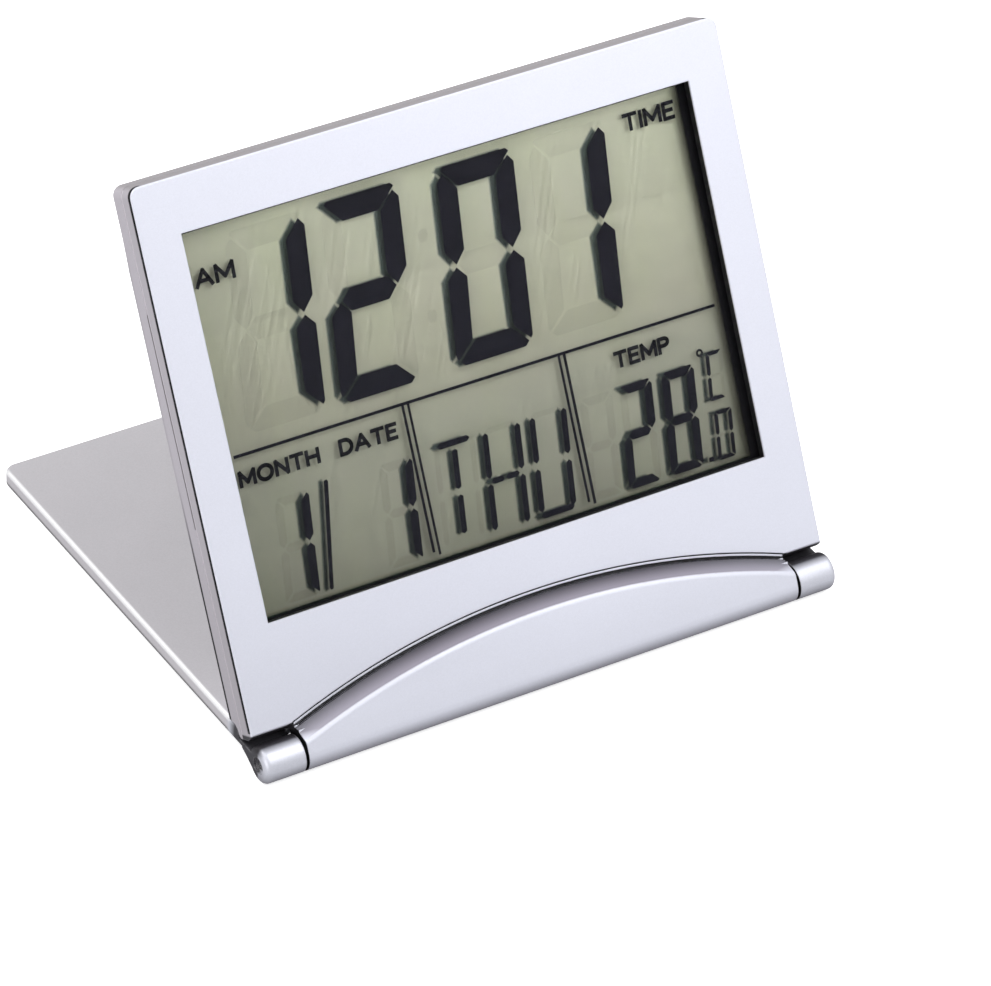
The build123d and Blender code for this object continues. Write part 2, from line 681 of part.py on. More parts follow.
def cover_plate():
    plate = box(-HALF_W, HALF_W, PLATE_START, COVER_LENGTH, COVER_IN_Z, COVER_OUT_Z)
    far_corners = [edge for edge in plate.edges().filter_by(Axis.Z)
                   if edge.center().Y > COVER_LENGTH - 1]
    plate = safe_fillet(plate, far_corners, PLATE_CORNER_R)
    plate = safe_fillet(plate, plate_edges(plate, COVER_OUT_Z), 0.55)
    plate = safe_fillet(plate, plate_edges(plate, COVER_IN_Z), 0.3)

    # valley next to the knuckles, leaving a rounded plate end
    valley = (prism_x([(-5, VALLEY_Z), (PLATE_END_Y, VALLEY_Z), (PLATE_END_Y, 5), (-5, 5)],
                      -60, 60)
              - rod_x(PLATE_END_Y, VALLEY_Z, PLATE_END_R, -60, 60))
    valley = valley - box(-60, 60, PLATE_END_Y - 0.001, 10, -5, 6)
    plate = plate - valley

    # arched cut-out that clears the lip when the cover is closed
    clearing = arch_sketch(LIP_APEX - AXIS_Z + 0.35, SPLIT_X, -5)
    below = Plane(origin=(0, 0, -3), x_dir=(1, 0, 0), z_dir=(0, 0, 1))
    return plate - extrude(below * clearing, 10, dir=(0, 0, 1))


def stand_cover():
    cover = cover_plate()
    for side in SIDES:
        x_min, x_max = side_span(side, KNUCKLE_X, HALF_W)
        knuckle = rod_x(0, 0, BARREL_R, x_min, x_max)
        outer_edge = sorted(circles(knuckle), key=lambda edge: side * edge.center().X)[-1:]
        knuckle = safe_fillet(knuckle, outer_edge, 0.7)
        cover = cover + knuckle + prism_x(ARM_PROFILE, x_min, x_max)
        cover = cover - rod_x(0, 0, PIN_R + 0.01, x_min - 1, x_max + 1)
        cover = cover - rod_x(0, 0, MOUTH_R,
                              *side_span(side, HALF_W - MOUTH_DEPTH, HALF_W + 1))
    # pad pockets in the inner face
    for side in SIDES:
        cover = cover - Pos(side * PAD_X, PAD_Y, 0) * Cylinder(PAD_R + 0.05, 2.0)
    return largest_solid(cover)


def cover_bumpers():
    mid_z = (PAD_BOTTOM + PAD_TOP) / 2
    return Compound(children=[
        largest_solid(Pos(side * PAD_X, PAD_Y, mid_z) * Cylinder(PAD_R, PAD_TOP - PAD_BOTTOM))
        for side in SIDES])


def hinge_pin(side):
    """Pin from inside the barrel to just short of the knuckle's outer end."""
    pin = rod_x(0, 0, PIN_R, *side_span(side, BARREL_X - 7.6, HALF_W - 0.45))
    return largest_solid(safe_fillet(pin, pin.edges(), 0.15))


# ---------------------------------------------------------------------------
# Build, place and export
# ---------------------------------------------------------------------------
stand_parts = {
    "stand_cover": stand_cover(),
    "cover_bumpers": cover_bumpers(),
    "hinge_pin_left": hinge_pin(-1),
    "hinge_pin_right": hinge_pin(1),
}

housing = housing_body()
housing_parts = {
    "front_bezel": front_bezel(housing),
    "hinge_lip": hinge_lip(),
    "rear_case": rear_case(housing),
    "battery_door": battery_door(),
    "display_frame": display_frame(),
    "zebra_strip": zebra_strip(),
    "main_board": main_board(),
    "clock_chip": clock_chip(),
    "quartz_crystal": quartz_crystal(),
    "thermistor": thermistor(),
    "buzzer_disc": buzzer_disc(),
    "buzzer_leads": buzzer_leads(),
    "coin_cell": coin_cell(),
    "battery_contact_negative": negative_contact(),
    "battery_contact_positive": positive_contact(),
    "keypad_mat": keypad_mat(),
    "case_screws": case_screws(),
    "board_screws": board_screws(),
}
for name, (half_x, *limits) in DISPLAY_LAYERS.items():
    housing_parts[name] = box(-half_x, half_x, *limits)
for row, key_z in KEY_ROWS.items():
    for column, key_x in KEY_COLUMNS.items():
        housing_parts[f"button_{row}_{column}"] = button(key_x, key_z)

# the table touches the knuckles and the two pads; the tilt is found by iteration
tilt = 0.0
for _ in range(50):
    tilt = math.atan2(PAD_BOTTOM + BARREL_R / math.cos(tilt), PAD_Y + PAD_R)
tilt_deg = math.degrees(tilt)

AXIS_FINAL_Y = -32.41       # hinge axis in front of the footprint's centre
hinge_place = Location((0, AXIS_FINAL_Y, BARREL_R))
stand_place = hinge_place * Location((0, 0, 0), (-tilt_deg, 0, 0))
housing_place = (hinge_place * Location((0, 0, 0), (-(tilt_deg + OPEN_DEG), 0, 0))
                 * Location((0, 0, -AXIS_Z)))

for parts, place in ((stand_parts, stand_place), (housing_parts, housing_place)):
    for name, shape in parts.items():
        export_step(shape.moved(place), f"parts/{name}.step")
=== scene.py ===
"""Folding desk clock: a housing with a liquid-crystal display, hinged to a stand plate.

Sizes are in millimetres in the housing's frame: x to the right along the hinge, y from
the face into the housing, z up along the face. Its origin is the middle of the lower
edge of the face.
"""
import json
import math

import bmesh
import bpy
from mathutils import Matrix, Vector


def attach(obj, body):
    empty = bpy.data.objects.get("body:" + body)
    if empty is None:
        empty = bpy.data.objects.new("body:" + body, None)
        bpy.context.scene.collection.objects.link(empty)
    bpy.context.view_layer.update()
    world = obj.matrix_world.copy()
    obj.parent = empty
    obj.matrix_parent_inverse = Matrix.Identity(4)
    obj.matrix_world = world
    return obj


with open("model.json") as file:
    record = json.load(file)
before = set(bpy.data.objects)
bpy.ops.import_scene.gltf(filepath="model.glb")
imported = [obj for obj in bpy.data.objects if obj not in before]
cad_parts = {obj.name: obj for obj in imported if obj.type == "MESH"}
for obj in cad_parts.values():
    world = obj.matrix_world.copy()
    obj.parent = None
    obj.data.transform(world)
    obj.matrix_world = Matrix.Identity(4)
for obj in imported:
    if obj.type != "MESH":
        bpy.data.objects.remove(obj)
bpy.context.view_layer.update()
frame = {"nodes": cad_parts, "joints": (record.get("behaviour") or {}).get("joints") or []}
nodes = frame["nodes"]
joints = {joint["name"]: joint for joint in frame["joints"]}
MM = 0.001

# ---------------------------------------------------------------------------
# Frames of the housing and of the stand plate
# ---------------------------------------------------------------------------


def main_normal(name, toward):
    """normal of the largest facet of a node that looks the given way, square to x"""
    facets = [p for p in nodes[name].data.polygons if p.normal.dot(toward) > 0.5]
    normal = max(facets, key=lambda p: p.area).normal.copy()
    normal.x = 0
    return normal.normalized()


AXIS_BELOW_FACE = 3.8                       # hinge axis under the lower edge of the face
HINGE = Vector(joints["housing_fold"]["pos_m"])
ACROSS = Vector((1, 0, 0))
DEPTH = main_normal("lcd_reflector", Vector((0, 0.88, -0.48)))
UP = ACROSS.cross(DEPTH)
FACE_ORIGIN = HINGE + UP * AXIS_BELOW_FACE * MM
PLATE_OUT = main_normal("stand_cover", Vector((0, 0, 1)))
PLATE_ALONG = PLATE_OUT.cross(ACROSS)       # away from the hinge


def at_face(x, y, z):
    """point of the housing's frame in scene metres"""
    return FACE_ORIGIN + (ACROSS * x + DEPTH * y + UP * z) * MM


# ---------------------------------------------------------------------------
# Node graphs
# ---------------------------------------------------------------------------
class Graph:
    """node graph of one material; the methods return output sockets"""

    def __init__(self, name):
        self.material = bpy.data.materials.new(name)
        self.material.use_nodes = True
        self.tree = self.material.node_tree
        self.tree.nodes.clear()
        self.output = self.node("ShaderNodeOutputMaterial")
        coords = self.node("ShaderNodeTexCoord").outputs["Object"]
        # position in millimetres
        self.mm = self.node("ShaderNodeMapping", Vector=coords,
                            Scale=(1000, 1000, 1000)).outputs["Vector"]

    def node(self, kind, *inputs, props=None, **named):
        """new node with inputs by position, or by name with underscores for spaces"""
        node = self.tree.nodes.new(kind)
        for key, value in (props or {}).items():
            setattr(node, key, value)
        for i, value in enumerate(inputs):
            self.put(node.inputs[i], value)
        for key, value in named.items():
            self.put(node.inputs[key.replace("_", " ")], value)
        return node

    def put(self, socket, value):
        """link an output to an input, or set the input's value"""
        if isinstance(value, bpy.types.NodeSocket):
            self.tree.links.new(value, socket)
        elif socket.type == "RGBA":
            socket.default_value = (*value, 1)
        else:
            socket.default_value = value

    def math(self, operation, a, b=0.0, clamp=False):
        props = {"operation": operation, "use_clamp": clamp}
        return self.node("ShaderNodeMath", a, b, props=props).outputs[0]

    def add(self, a, b, clamp=False):
        return self.math("ADD", a, b, clamp)

    def sub(self, a, b):
        return self.math("SUBTRACT", a, b)

    def mul(self, a, b, clamp=False):
        return self.math("MULTIPLY", a, b, clamp)

    def swing(self, value, amount):
        """a 0..1 value centred on zero and scaled"""
        return self.mul(self.sub(value, 0.5), amount)

    def radius(self, a, b):
        """length of the vector (a, b)"""
        return self.math("SQRT", self.add(self.mul(a, a), self.mul(b, b)))

    def ramp(self, value, start, end, out=(0.0, 1.0)):
        """clamped ramp from out[0] at start to out[1] at end"""
        return self.node("ShaderNodeMapRange", Value=value, From_Min=start, From_Max=end,
                         To_Min=out[0], To_Max=out[1]).outputs[0]

    def band(self, value, low, high, soft=0.03):
        """1 between two limits, fading over the soft width outside them"""
        return self.mul(self.ramp(value, low - soft, low), self.ramp(value, high + soft, high))

    def mix(self, factor, a, b, blend="MIX"):
        node = self.node("ShaderNodeMix", props={"data_type": "RGBA", "blend_type": blend})
        for i, value in ((0, factor), (6, a), (7, b)):
            self.put(node.inputs[i], value)
        return node.outputs[2]

    def scale(self, colour, factor):
        return self.node("ShaderNodeVectorMath", colour, props={"operation": "SCALE"},
                         Scale=factor).outputs[0]

    def dot(self, a, b):
        return self.node("ShaderNodeVectorMath", a, b,
                         props={"operation": "DOT_PRODUCT"}).outputs["Value"]

    def noise(self, scale, detail=3.0, rough=0.5, vector=None, distortion=0.0):
        return self.node("ShaderNodeTexNoise", Vector=vector or self.mm, Scale=scale,
                         Detail=detail, Roughness=rough, Distortion=distortion).outputs["Fac"]

    def cells(self, scale, vector=None):
        """outputs of a cell pattern"""
        return self.node("ShaderNodeTexVoronoi", Vector=vector or self.mm, Scale=scale).outputs

    def cell_value(self, cells):
        """random value of each cell"""
        return self.node("ShaderNodeSeparateColor", Color=cells["Color"]).outputs[0]

    def along(self, direction, origin=FACE_ORIGIN):
        """distance in mm along a direction from a point, at rest"""
        return self.sub(self.dot(self.mm, direction), float(direction.dot(origin) * 1000))

    def stretched(self, direction, along):
        """coordinates for a grain that runs along a direction"""
        grain = direction.normalized()
        side = grain.cross(ACROSS if abs(grain.x) < 0.9 else UP).normalized()
        third = grain.cross(side).normalized()
        parts = [self.dot(self.mm, v) for v in (grain * along, side, third)]
        return self.node("ShaderNodeCombineXYZ", *parts).outputs[0]

    def facing(self, direction):
        """dot product of the surface normal with a direction or another normal"""
        normal = self.node("ShaderNodeNewGeometry").outputs["Normal"]
        return self.dot(normal, direction)

    def rounded(self, radius):
        """normal with edges rounded to a radius in mm"""
        return self.node("ShaderNodeBevel", props={"samples": 3}, Radius=radius * MM).outputs[0]

    def soft_edge(self, radius):
        """(normal with rounded edges, mask that is 1 on edges)"""
        rounded = self.rounded(radius)
        normal = self.node("ShaderNodeNewGeometry").outputs["Normal"]
        return rounded, self.ramp(self.dot(rounded, normal), start=0.995, end=0.80)

    def bump(self, height, microns, normal=None):
        node = self.node("ShaderNodeBump", Height=height, Distance=microns * 1e-6, Strength=1.0)
        if normal is not None:
            self.put(node.inputs["Normal"], normal)
        return node.outputs[0]

    def principled(self, **inputs):
        return self.node("ShaderNodeBsdfPrincipled", **inputs).outputs[0]

    def transparent(self, colour):
        return self.node("ShaderNodeBsdfTransparent", Color=colour).outputs[0]

    def diffuse(self, colour):
        return self.node("ShaderNodeBsdfDiffuse", Color=colour).outputs[0]

    def mix_shader(self, factor, a, b):
        return self.node("ShaderNodeMixShader", factor, a, b).outputs[0]

    def camera_ray(self):
        return self.node("ShaderNodeLightPath").outputs["Is Camera Ray"]

    def finish(self, shader):
        self.put(self.output.inputs["Surface"], shader)
        return self.material


def linear(*rgb):
    """8-bit sRGB to linear"""
    shares = [c / 255 for c in rgb]
    return tuple(c / 12.92 if c <= 0.04045 else ((c + 0.055) / 1.055) ** 2.4 for c in shares)


def scaled(colour, factor):
    return tuple(min(1.0, c * factor) for c in colour)


# ---------------------------------------------------------------------------
# Finishes
# ---------------------------------------------------------------------------
def metallic_paint(name, base, zones, rough, metallic, flake, edge, tone, edge_radius=0.22):
    """satin silver paint: fine flake, faint orange peel, handling marks, thin on edges"""
    g = Graph(name)
    broad = g.noise(scale=0.045, detail=3, rough=0.55)
    mottle = g.noise(scale=0.35, detail=4, rough=0.6)
    fine = g.cell_value(g.cells(scale=9.0))
    coarse = g.cell_value(g.cells(scale=4.3))
    tone_shift = g.add(g.swing(broad, tone * 2.2), g.swing(mottle, tone))
    flake_shift = g.add(g.swing(fine, flake), g.swing(coarse, flake * 0.6))
    rgb = g.scale(zones(g, base), g.add(1.0, g.add(tone_shift, flake_shift)))
    normal, mask = g.soft_edge(edge_radius)
    patches = g.ramp(g.noise(scale=1.1, detail=4, rough=0.7), start=0.35, end=0.65)
    worn = g.mul(mask, g.mul(patches, edge), clamp=True)
    rgb = g.mix(worn, rgb, scaled(base, 1.18))
    marks = g.noise(scale=0.09, detail=5, rough=0.62, distortion=0.6)
    smudge = g.ramp(marks, start=0.40, end=0.66, out=(-0.035, 0.05))
    gloss = g.add(rough, g.add(smudge, g.swing(fine, amount=0.06)))
    gloss = g.sub(gloss, g.mul(worn, 0.08))
    peel = g.noise(scale=1.6, detail=2, rough=0.5)
    grain = g.noise(scale=7.5, detail=2, rough=0.6)
    relief = g.bump(g.add(g.mul(peel, 1.0), g.mul(grain, 0.45)), microns=6.0, normal=normal)
    metal = g.add(metallic, g.swing(coarse, amount=0.12), clamp=True)
    return g.finish(g.principled(Base_Color=rgb, Metallic=metal, Roughness=gloss,
                                 Normal=relief, Specular_IOR_Level=0.5))


def moulded(name, base, rough, texture, grain, edge=0.3, spec=0.4, tone=0.12):
    """plastic with a fine spark-eroded texture, dusty in places, polished on its edges"""
    g = Graph(name)
    broad = g.noise(scale=0.12, detail=4, rough=0.6)
    dust = g.ramp(g.noise(scale=0.5, detail=5, rough=0.7), start=0.48, end=0.72)
    rgb = g.scale(base, g.add(1.0, g.swing(broad, tone)))
    rgb = g.mix(g.mul(dust, 0.05), rgb, (0.35, 0.34, 0.33))
    normal, mask = g.soft_edge(radius=0.2)
    rgb = g.mix(g.mul(mask, edge), rgb, scaled(base, 1.6))
    pits = g.noise(scale=grain, detail=3, rough=0.65)
    height = g.add(pits, g.mul(g.cells(scale=grain * 1.7)["Distance"], 0.5))
    gloss = g.sub(g.add(rough, g.swing(broad, amount=0.15)), g.mul(mask, 0.1))
    return g.finish(g.principled(Base_Color=rgb, Roughness=gloss,
                                 Normal=g.bump(height, texture, normal),
                                 Specular_IOR_Level=spec))


def rubber(name, base, rough):
    """mottled matt rubber with sparse light specks"""
    g = Graph(name)
    mottle = g.noise(scale=0.6, detail=5, rough=0.65)
    cells = g.cells(scale=6.0)
    rgb = g.scale(base, g.add(0.9, g.mul(mottle, 0.25)))
    speck = g.math("GREATER_THAN", g.cell_value(cells), 0.93)
    rgb = g.mix(g.mul(speck, 0.25), rgb, scaled(base, 2.2))
    grain = g.noise(scale=5.0, detail=3, rough=0.6)
    height = g.add(grain, g.mul(cells["Distance"], 0.6))
    normal = g.bump(height, microns=12.0, normal=g.rounded(radius=0.2))
    gloss = g.add(rough, g.swing(mottle, amount=0.2))
    return g.finish(g.principled(Base_Color=rgb, Roughness=gloss, Normal=normal,
                                 Sheen_Weight=0.15, Sheen_Roughness=0.5,
                                 Specular_IOR_Level=0.3))


def brushed(name, base, direction, rough, line, amount, tarnish=None):
    """drawn or rolled metal: lines along one direction, some tarnish, bright edges"""
    g = Graph(name)
    grain = g.stretched(direction, along=0.03)
    lines = g.noise(scale=line, detail=4, rough=0.7, vector=grain)
    broad = g.noise(scale=0.4, detail=4, rough=0.6)
    rgb = g.scale(base, g.add(0.88, g.mul(lines, 0.22)))
    stain = g.mul(g.ramp(broad, start=0.45, end=0.7), amount)
    rgb = g.mix(stain, rgb, tarnish or scaled(base, 0.55))
    normal, mask = g.soft_edge(radius=0.12)
    rgb = g.mix(g.mul(mask, 0.4), rgb, scaled(base, 1.25))
    uneven = g.sub(g.add(g.mul(lines, 0.6), g.mul(broad, 0.6)), 0.6)
    return g.finish(g.principled(Base_Color=rgb, Metallic=1.0,
                                 Roughness=g.add(rough, g.mul(uneven, 0.3)),
                                 Normal=g.bump(lines, microns=2.5, normal=normal)))


def clear_sheet(name, tint, gloss, rough, haze=0.0):
    """clear sheet with a faint reflection, hairline scratches and, with haze, dust"""
    g = Graph(name)
    grain = g.stretched(Vector((0.8, 0.3, 0.52)), along=0.05)
    scratches = g.noise(scale=9.0, detail=3, rough=0.7, vector=grain)
    scuffed = g.add(rough, g.mul(g.ramp(scratches, start=0.55, end=0.8), 0.10))
    fresnel = g.node("ShaderNodeFresnel", IOR=1.4).outputs[0]
    reflection = g.mul(fresnel, gloss, clamp=True)
    drift = g.ramp(g.noise(scale=0.3, detail=3), start=0.3, end=0.7, out=(0.0, 0.5))
    through = g.transparent(g.mix(drift, tint, scaled(tint, 0.985)))
    shine = g.node("ShaderNodeBsdfGlossy", Color=(0.9, 0.92, 0.95), Roughness=scuffed,
                   Normal=g.bump(scratches, microns=0.5)).outputs[0]
    sheet = g.mix_shader(reflection, through, shine)
    if haze > 0:
        speck = g.math("LESS_THAN", g.cells(scale=1.3)["Distance"], 0.06)
        sheet = g.mix_shader(g.mul(speck, haze), sheet, g.diffuse((0.8, 0.82, 0.84)))
    # light passes plainly, only the camera sees the reflection
    return g.finish(g.mix_shader(g.camera_ray(), g.transparent(tint), sheet))


REFLECTOR_LOW, REFLECTOR_HIGH = 12.0, 62.0      # heights at the ends of the colour ramp
# height on the face, colour; painted light, brighter towards the top
REFLECTOR_PAINTED_LIGHT = [
    (13.5, (0.370, 0.372, 0.298)), (20.0, (0.402, 0.405, 0.326)),
    (29.0, (0.480, 0.484, 0.392)), (36.0, (0.520, 0.518, 0.408)),
    (46.0, (0.605, 0.608, 0.482)), (57.5, (0.720, 0.735, 0.585)),
    (61.5, (0.880, 0.895, 0.725)),
]


def reflector_finish(name):
    """matt olive-grey foil: fine sparkle, colour drift; painted light, brighter towards the top
    and darker at the bottom and left
    """
    g = Graph(name)
    height = g.ramp(g.along(UP), REFLECTOR_LOW, REFLECTOR_HIGH)
    ramp = g.node("ShaderNodeValToRGB", Fac=height)
    elements = ramp.color_ramp.elements
    while len(elements) < len(REFLECTOR_PAINTED_LIGHT):
        elements.new(0.5)
    # all places first, then the colours
    for element, (z, _) in zip(elements, REFLECTOR_PAINTED_LIGHT):
        element.position = (z - REFLECTOR_LOW) / (REFLECTOR_HIGH - REFLECTOR_LOW)
    for element, (_, colour) in zip(elements, REFLECTOR_PAINTED_LIGHT):
        element.color = (*colour, 1)
    # painted shade: a little darker towards the left
    sideways = g.ramp(g.along(ACROSS), start=-36.0, end=30.0, out=(1.0, 1.03))
    rgb = g.scale(ramp.outputs["Color"], sideways)
    drift = g.noise(scale=0.11, detail=3, rough=0.55)
    rgb = g.mix(g.ramp(drift, start=0.40, end=0.62, out=(0.0, 0.30)), rgb,
                g.mix(1.0, rgb, (1.0, 0.955, 1.02), "MULTIPLY"))
    streaks = g.noise(scale=0.16, detail=3, rough=0.55, vector=g.stretched(UP, along=0.3))
    rgb = g.mix(g.ramp(streaks, start=0.45, end=0.65, out=(0.0, 0.30)), rgb,
                g.mix(1.0, rgb, (0.98, 1.01, 0.90), "MULTIPLY"))
    sparkle = g.cell_value(g.cells(scale=8.0))
    rgb = g.scale(rgb, g.add(0.985, g.mul(sparkle, 0.03)))
    grain = g.noise(scale=5.0, detail=3, rough=0.6)
    return g.finish(g.principled(Base_Color=rgb, Roughness=0.62,
                                 Normal=g.bump(grain, microns=4.0), Specular_IOR_Level=0.12))


def ink(name, base, rough, spec):
    """opaque liquid-crystal or printed layer with a trace of unevenness"""
    g = Graph(name)
    broad = g.noise(scale=0.5, detail=4, rough=0.6)
    fine = g.noise(scale=6.0, detail=2, rough=0.5)
    rgb = g.scale(base, g.add(0.75, g.add(g.mul(broad, 0.35), g.mul(fine, 0.15))))
    return g.finish(g.principled(Base_Color=rgb, Roughness=rough, Specular_IOR_Level=spec,
                                 Normal=g.bump(fine, microns=0.5)))


def veil(name, colour, strength, uneven):
    """see-through darkening; the vertex attribute 'shade' holds its local strength"""
    g = Graph(name)
    shade = g.node("ShaderNodeAttribute", props={"attribute_name": "shade"}).outputs["Fac"]
    back = g.node("ShaderNodeNewGeometry").outputs["Backfacing"]
    patches = g.mul(g.noise(scale=0.8, detail=3, rough=0.5), strength * uneven)
    amount = g.mul(shade, g.add(strength * (1 - uneven / 2), patches), clamp=True)
    amount = g.mul(amount, g.sub(1.0, back))
    return g.finish(g.transparent(g.mix(amount, (1, 1, 1), colour)))


def board_finish(name):
    """green solder mask over copper tracks, with tinned pads"""
    g = Graph(name)
    flat = g.node("ShaderNodeCombineXYZ", g.along(ACROSS), g.along(UP)).outputs[0]
    tracks = g.node("ShaderNodeTexBrick", props={"offset": 0.37, "squash": 0.8}, Vector=flat,
                    Scale=0.24, Mortar_Size=0.035, Mortar_Smooth=0.05, Brick_Width=0.9,
                    Row_Height=0.34).outputs["Fac"]
    zone = g.noise(scale=0.09, detail=2, rough=0.5, vector=flat)
    tracks = g.mul(tracks, g.ramp(zone, start=0.44, end=0.47))
    cells = g.cells(scale=0.42, vector=flat)
    pads = g.mul(g.math("LESS_THAN", cells["Distance"], 0.20),
                 g.math("GREATER_THAN", g.cell_value(cells), 0.55))
    rgb = g.mix(g.noise(scale=1.5, detail=4), (0.010, 0.085, 0.035), (0.016, 0.12, 0.05))
    rgb = g.mix(tracks, rgb, (0.035, 0.22, 0.085))
    rgb = g.mix(pads, rgb, (0.62, 0.60, 0.56))
    height = g.add(g.mul(tracks, 1.0), g.mul(pads, 0.6))
    normal, edge = g.soft_edge(radius=0.1)
    rgb = g.mix(g.mul(edge, 0.4), rgb, (0.35, 0.33, 0.2))
    gloss = g.add(0.28, g.mul(g.noise(scale=2.0, detail=3), 0.12))
    return g.finish(g.principled(Base_Color=rgb, Metallic=pads, Roughness=gloss,
                                 Normal=g.bump(height, microns=25.0, normal=normal)))


def epoxy_finish(name, base, rough):
    """lumpy glossy resin"""
    g = Graph(name)
    lumps = g.noise(scale=0.9, detail=4, rough=0.6)
    fine = g.noise(scale=4.0, detail=3, rough=0.6)
    rgb = g.mix(lumps, base, scaled(base, 2.4))
    relief = g.bump(g.add(lumps, g.mul(fine, 0.2)), microns=30.0)
    return g.finish(g.principled(Base_Color=rgb, Roughness=g.add(rough, g.mul(fine, 0.18)),
                                 Normal=relief, Coat_Weight=0.3, Coat_Roughness=0.15))


# ---------------------------------------------------------------------------
# Colour zones of the painted mouldings, limits in mm
# ---------------------------------------------------------------------------
FACE = (0.700, 0.712, 0.797)
# painted shade: greys for the walls of the silver housing, shaded copies of its paint
WALL_SIDE_SHADE = (0.450, 0.425, 0.462)
WALL_TOP_SHADE = (0.350, 0.328, 0.345)
REAR = (0.58, 0.57, 0.61)
COVER = (0.630, 0.612, 0.640)
KNUCKLE = (0.640, 0.650, 0.720)
KEY = linear(168, 168, 175)
# painted shade in the gaps between parts
GAP_SHADE = (0.006, 0.006, 0.007)

ARCH_RADIUS = 108.0     # arched groove across the housing
ARCH_CROWN = 6.0        # height of the arch's crown on the face
KEY_GAP_SHADE = (3.9, 4.36)  # radii of the painted shade in the gap round a key


def painted_wall_shade(g, factor):
    """painted shade of the housing's walls by the way they face: the side walls a little
    lighter than the top one, darker towards the bottom
    """
    side = g.ramp(g.math("ABSOLUTE", g.facing(ACROSS)), start=0.35, end=0.75)
    low = g.ramp(g.along(UP), start=34.0, end=8.0)
    side_tone = g.mix(low, scaled(WALL_SIDE_SHADE, factor), scaled(WALL_SIDE_SHADE, factor * 0.87))
    return g.mix(side, scaled(WALL_TOP_SHADE, factor), side_tone)


def end_faces(g, side, low, high):
    """1 on faces square to the hinge, between two distances from the middle"""
    square = g.ramp(g.math("ABSOLUTE", g.facing(ACROSS)), start=0.93, end=0.97)
    return g.mul(square, g.band(side, low, high))


def face_zones(g, base):
    """bright face and hinge lip; painted shade on the grey side walls behind the edge of the
    face, on the lower part of the face and lip and in the dark gaps; painted light along the
    parting seam
    """
    x, y, z = (g.along(axis) for axis in (ACROSS, DEPTH, UP))
    side = g.math("ABSOLUTE", x)
    # painted shade: the walls behind the edge of the face take the darker wall greys
    wall = g.mul(g.ramp(y, start=0.16, end=0.26), g.ramp(z, start=-0.9, end=-0.5))
    # painted shade: darker lower left part of the face, and the front of the lip below it
    lower_left_shade = g.mul(g.ramp(z, start=22.0, end=4.0), g.ramp(x, start=5.0, end=-30.0))
    lower_left_shade = g.mul(lower_left_shade, g.ramp(z, start=-1.0, end=1.0))
    lower = g.mul(g.ramp(z, start=2.5, end=-2.5), g.ramp(y, start=0.0, end=-0.3))
    front = g.mix(lower, g.mix(lower_left_shade, base, scaled(base, 0.93)), scaled(base, 0.94))
    rgb = g.mix(wall, front, painted_wall_shade(g, factor=1.0))
    # painted light: the walls lighter along the parting seam, against its shade
    rim = g.mul(g.ramp(y, start=2.44, end=2.52), g.ramp(side, start=41.0, end=41.1))
    rgb = g.mix(rim, rgb, painted_wall_shade(g, factor=1.7))
    # painted shade on the slope between the face and the raised lip, darkest at its foot
    limits = g.mul(g.ramp(z, start=-2.0, end=-1.2), g.ramp(y, start=0.02, end=-0.02))
    slope_shade = g.mul(g.ramp(g.facing(UP), start=0.62, end=0.80), limits)
    slope_shade = g.mul(slope_shade, g.ramp(z, start=8.0, end=7.0))
    shaded_foot = g.ramp(y, start=-1.9, end=-0.3)
    rgb = g.mix(slope_shade, rgb, g.mix(shaded_foot, (0.27, 0.25, 0.30), (0.030, 0.027, 0.035)))
    # painted shade on the underside of the barrel
    low = g.mul(g.ramp(z, start=-4.3, end=-6.2), g.ramp(y, start=2.5, end=1.5))
    rgb = g.mix(g.mul(low, 0.75), rgb, (0.18, 0.17, 0.20))
    # painted shade in the arched groove, and in the seam along it
    from_centre = g.radius(x, g.add(z, ARCH_RADIUS - ARCH_CROWN))
    arch = g.sub(from_centre, ARCH_RADIUS)
    groove_shade = g.mul(g.band(arch, low=-0.76, high=-0.29, soft=0.02),
                   g.band(y, low=0.06, high=0.8))
    rgb = g.mix(groove_shade, rgb, (0.012, 0.011, 0.014))
    seam_shade = g.mul(g.band(arch, low=-0.015, high=0.17, soft=0.01),
                 g.band(y, low=0.02, high=1.6))
    rgb = g.mix(seam_shade, rgb, GAP_SHADE)
    # painted shade in the shadow gap behind the edge of the face
    beside = g.mul(g.ramp(side, start=39.80, end=39.90), g.ramp(z, start=0.22, end=0.28))
    rgb = g.mix(g.mul(g.band(y, low=0.190, high=0.80), beside), rgb, (0.003, 0.003, 0.004))
    # painted shade on the end faces of the barrel, in the gap to the knuckles
    rgb = g.mix(end_faces(g, side, low=35.4, high=35.75), rgb, GAP_SHADE)
    # painted shade on the underside of the face, above the knuckles
    limits = g.mul(g.ramp(z, start=-1.2, end=-1.0), g.ramp(y, start=0.05, end=0.2))
    under_shade = g.mul(g.ramp(z, start=-0.02, end=-0.25), limits)
    return g.mix(under_shade, rgb, (0.03, 0.028, 0.034))


def key_gap_shades(g):
    """1 on the rims of the holes round the keys, where shade is painted in the gaps"""
    other = main_normal("battery_door", DEPTH).cross(ACROSS)
    total = None
    for name, key in nodes.items():
        if not name.startswith("button_"):
            continue
        points = [v.co for v in key.data.vertices]
        centre = sum(points, Vector((0, 0, 0))) / len(points)
        radius = g.radius(g.along(ACROSS, centre), g.along(other, centre))
        ring = g.band(radius, *KEY_GAP_SHADE, soft=0.06)
        total = ring if total is None else g.math("MAXIMUM", total, ring)
    return total


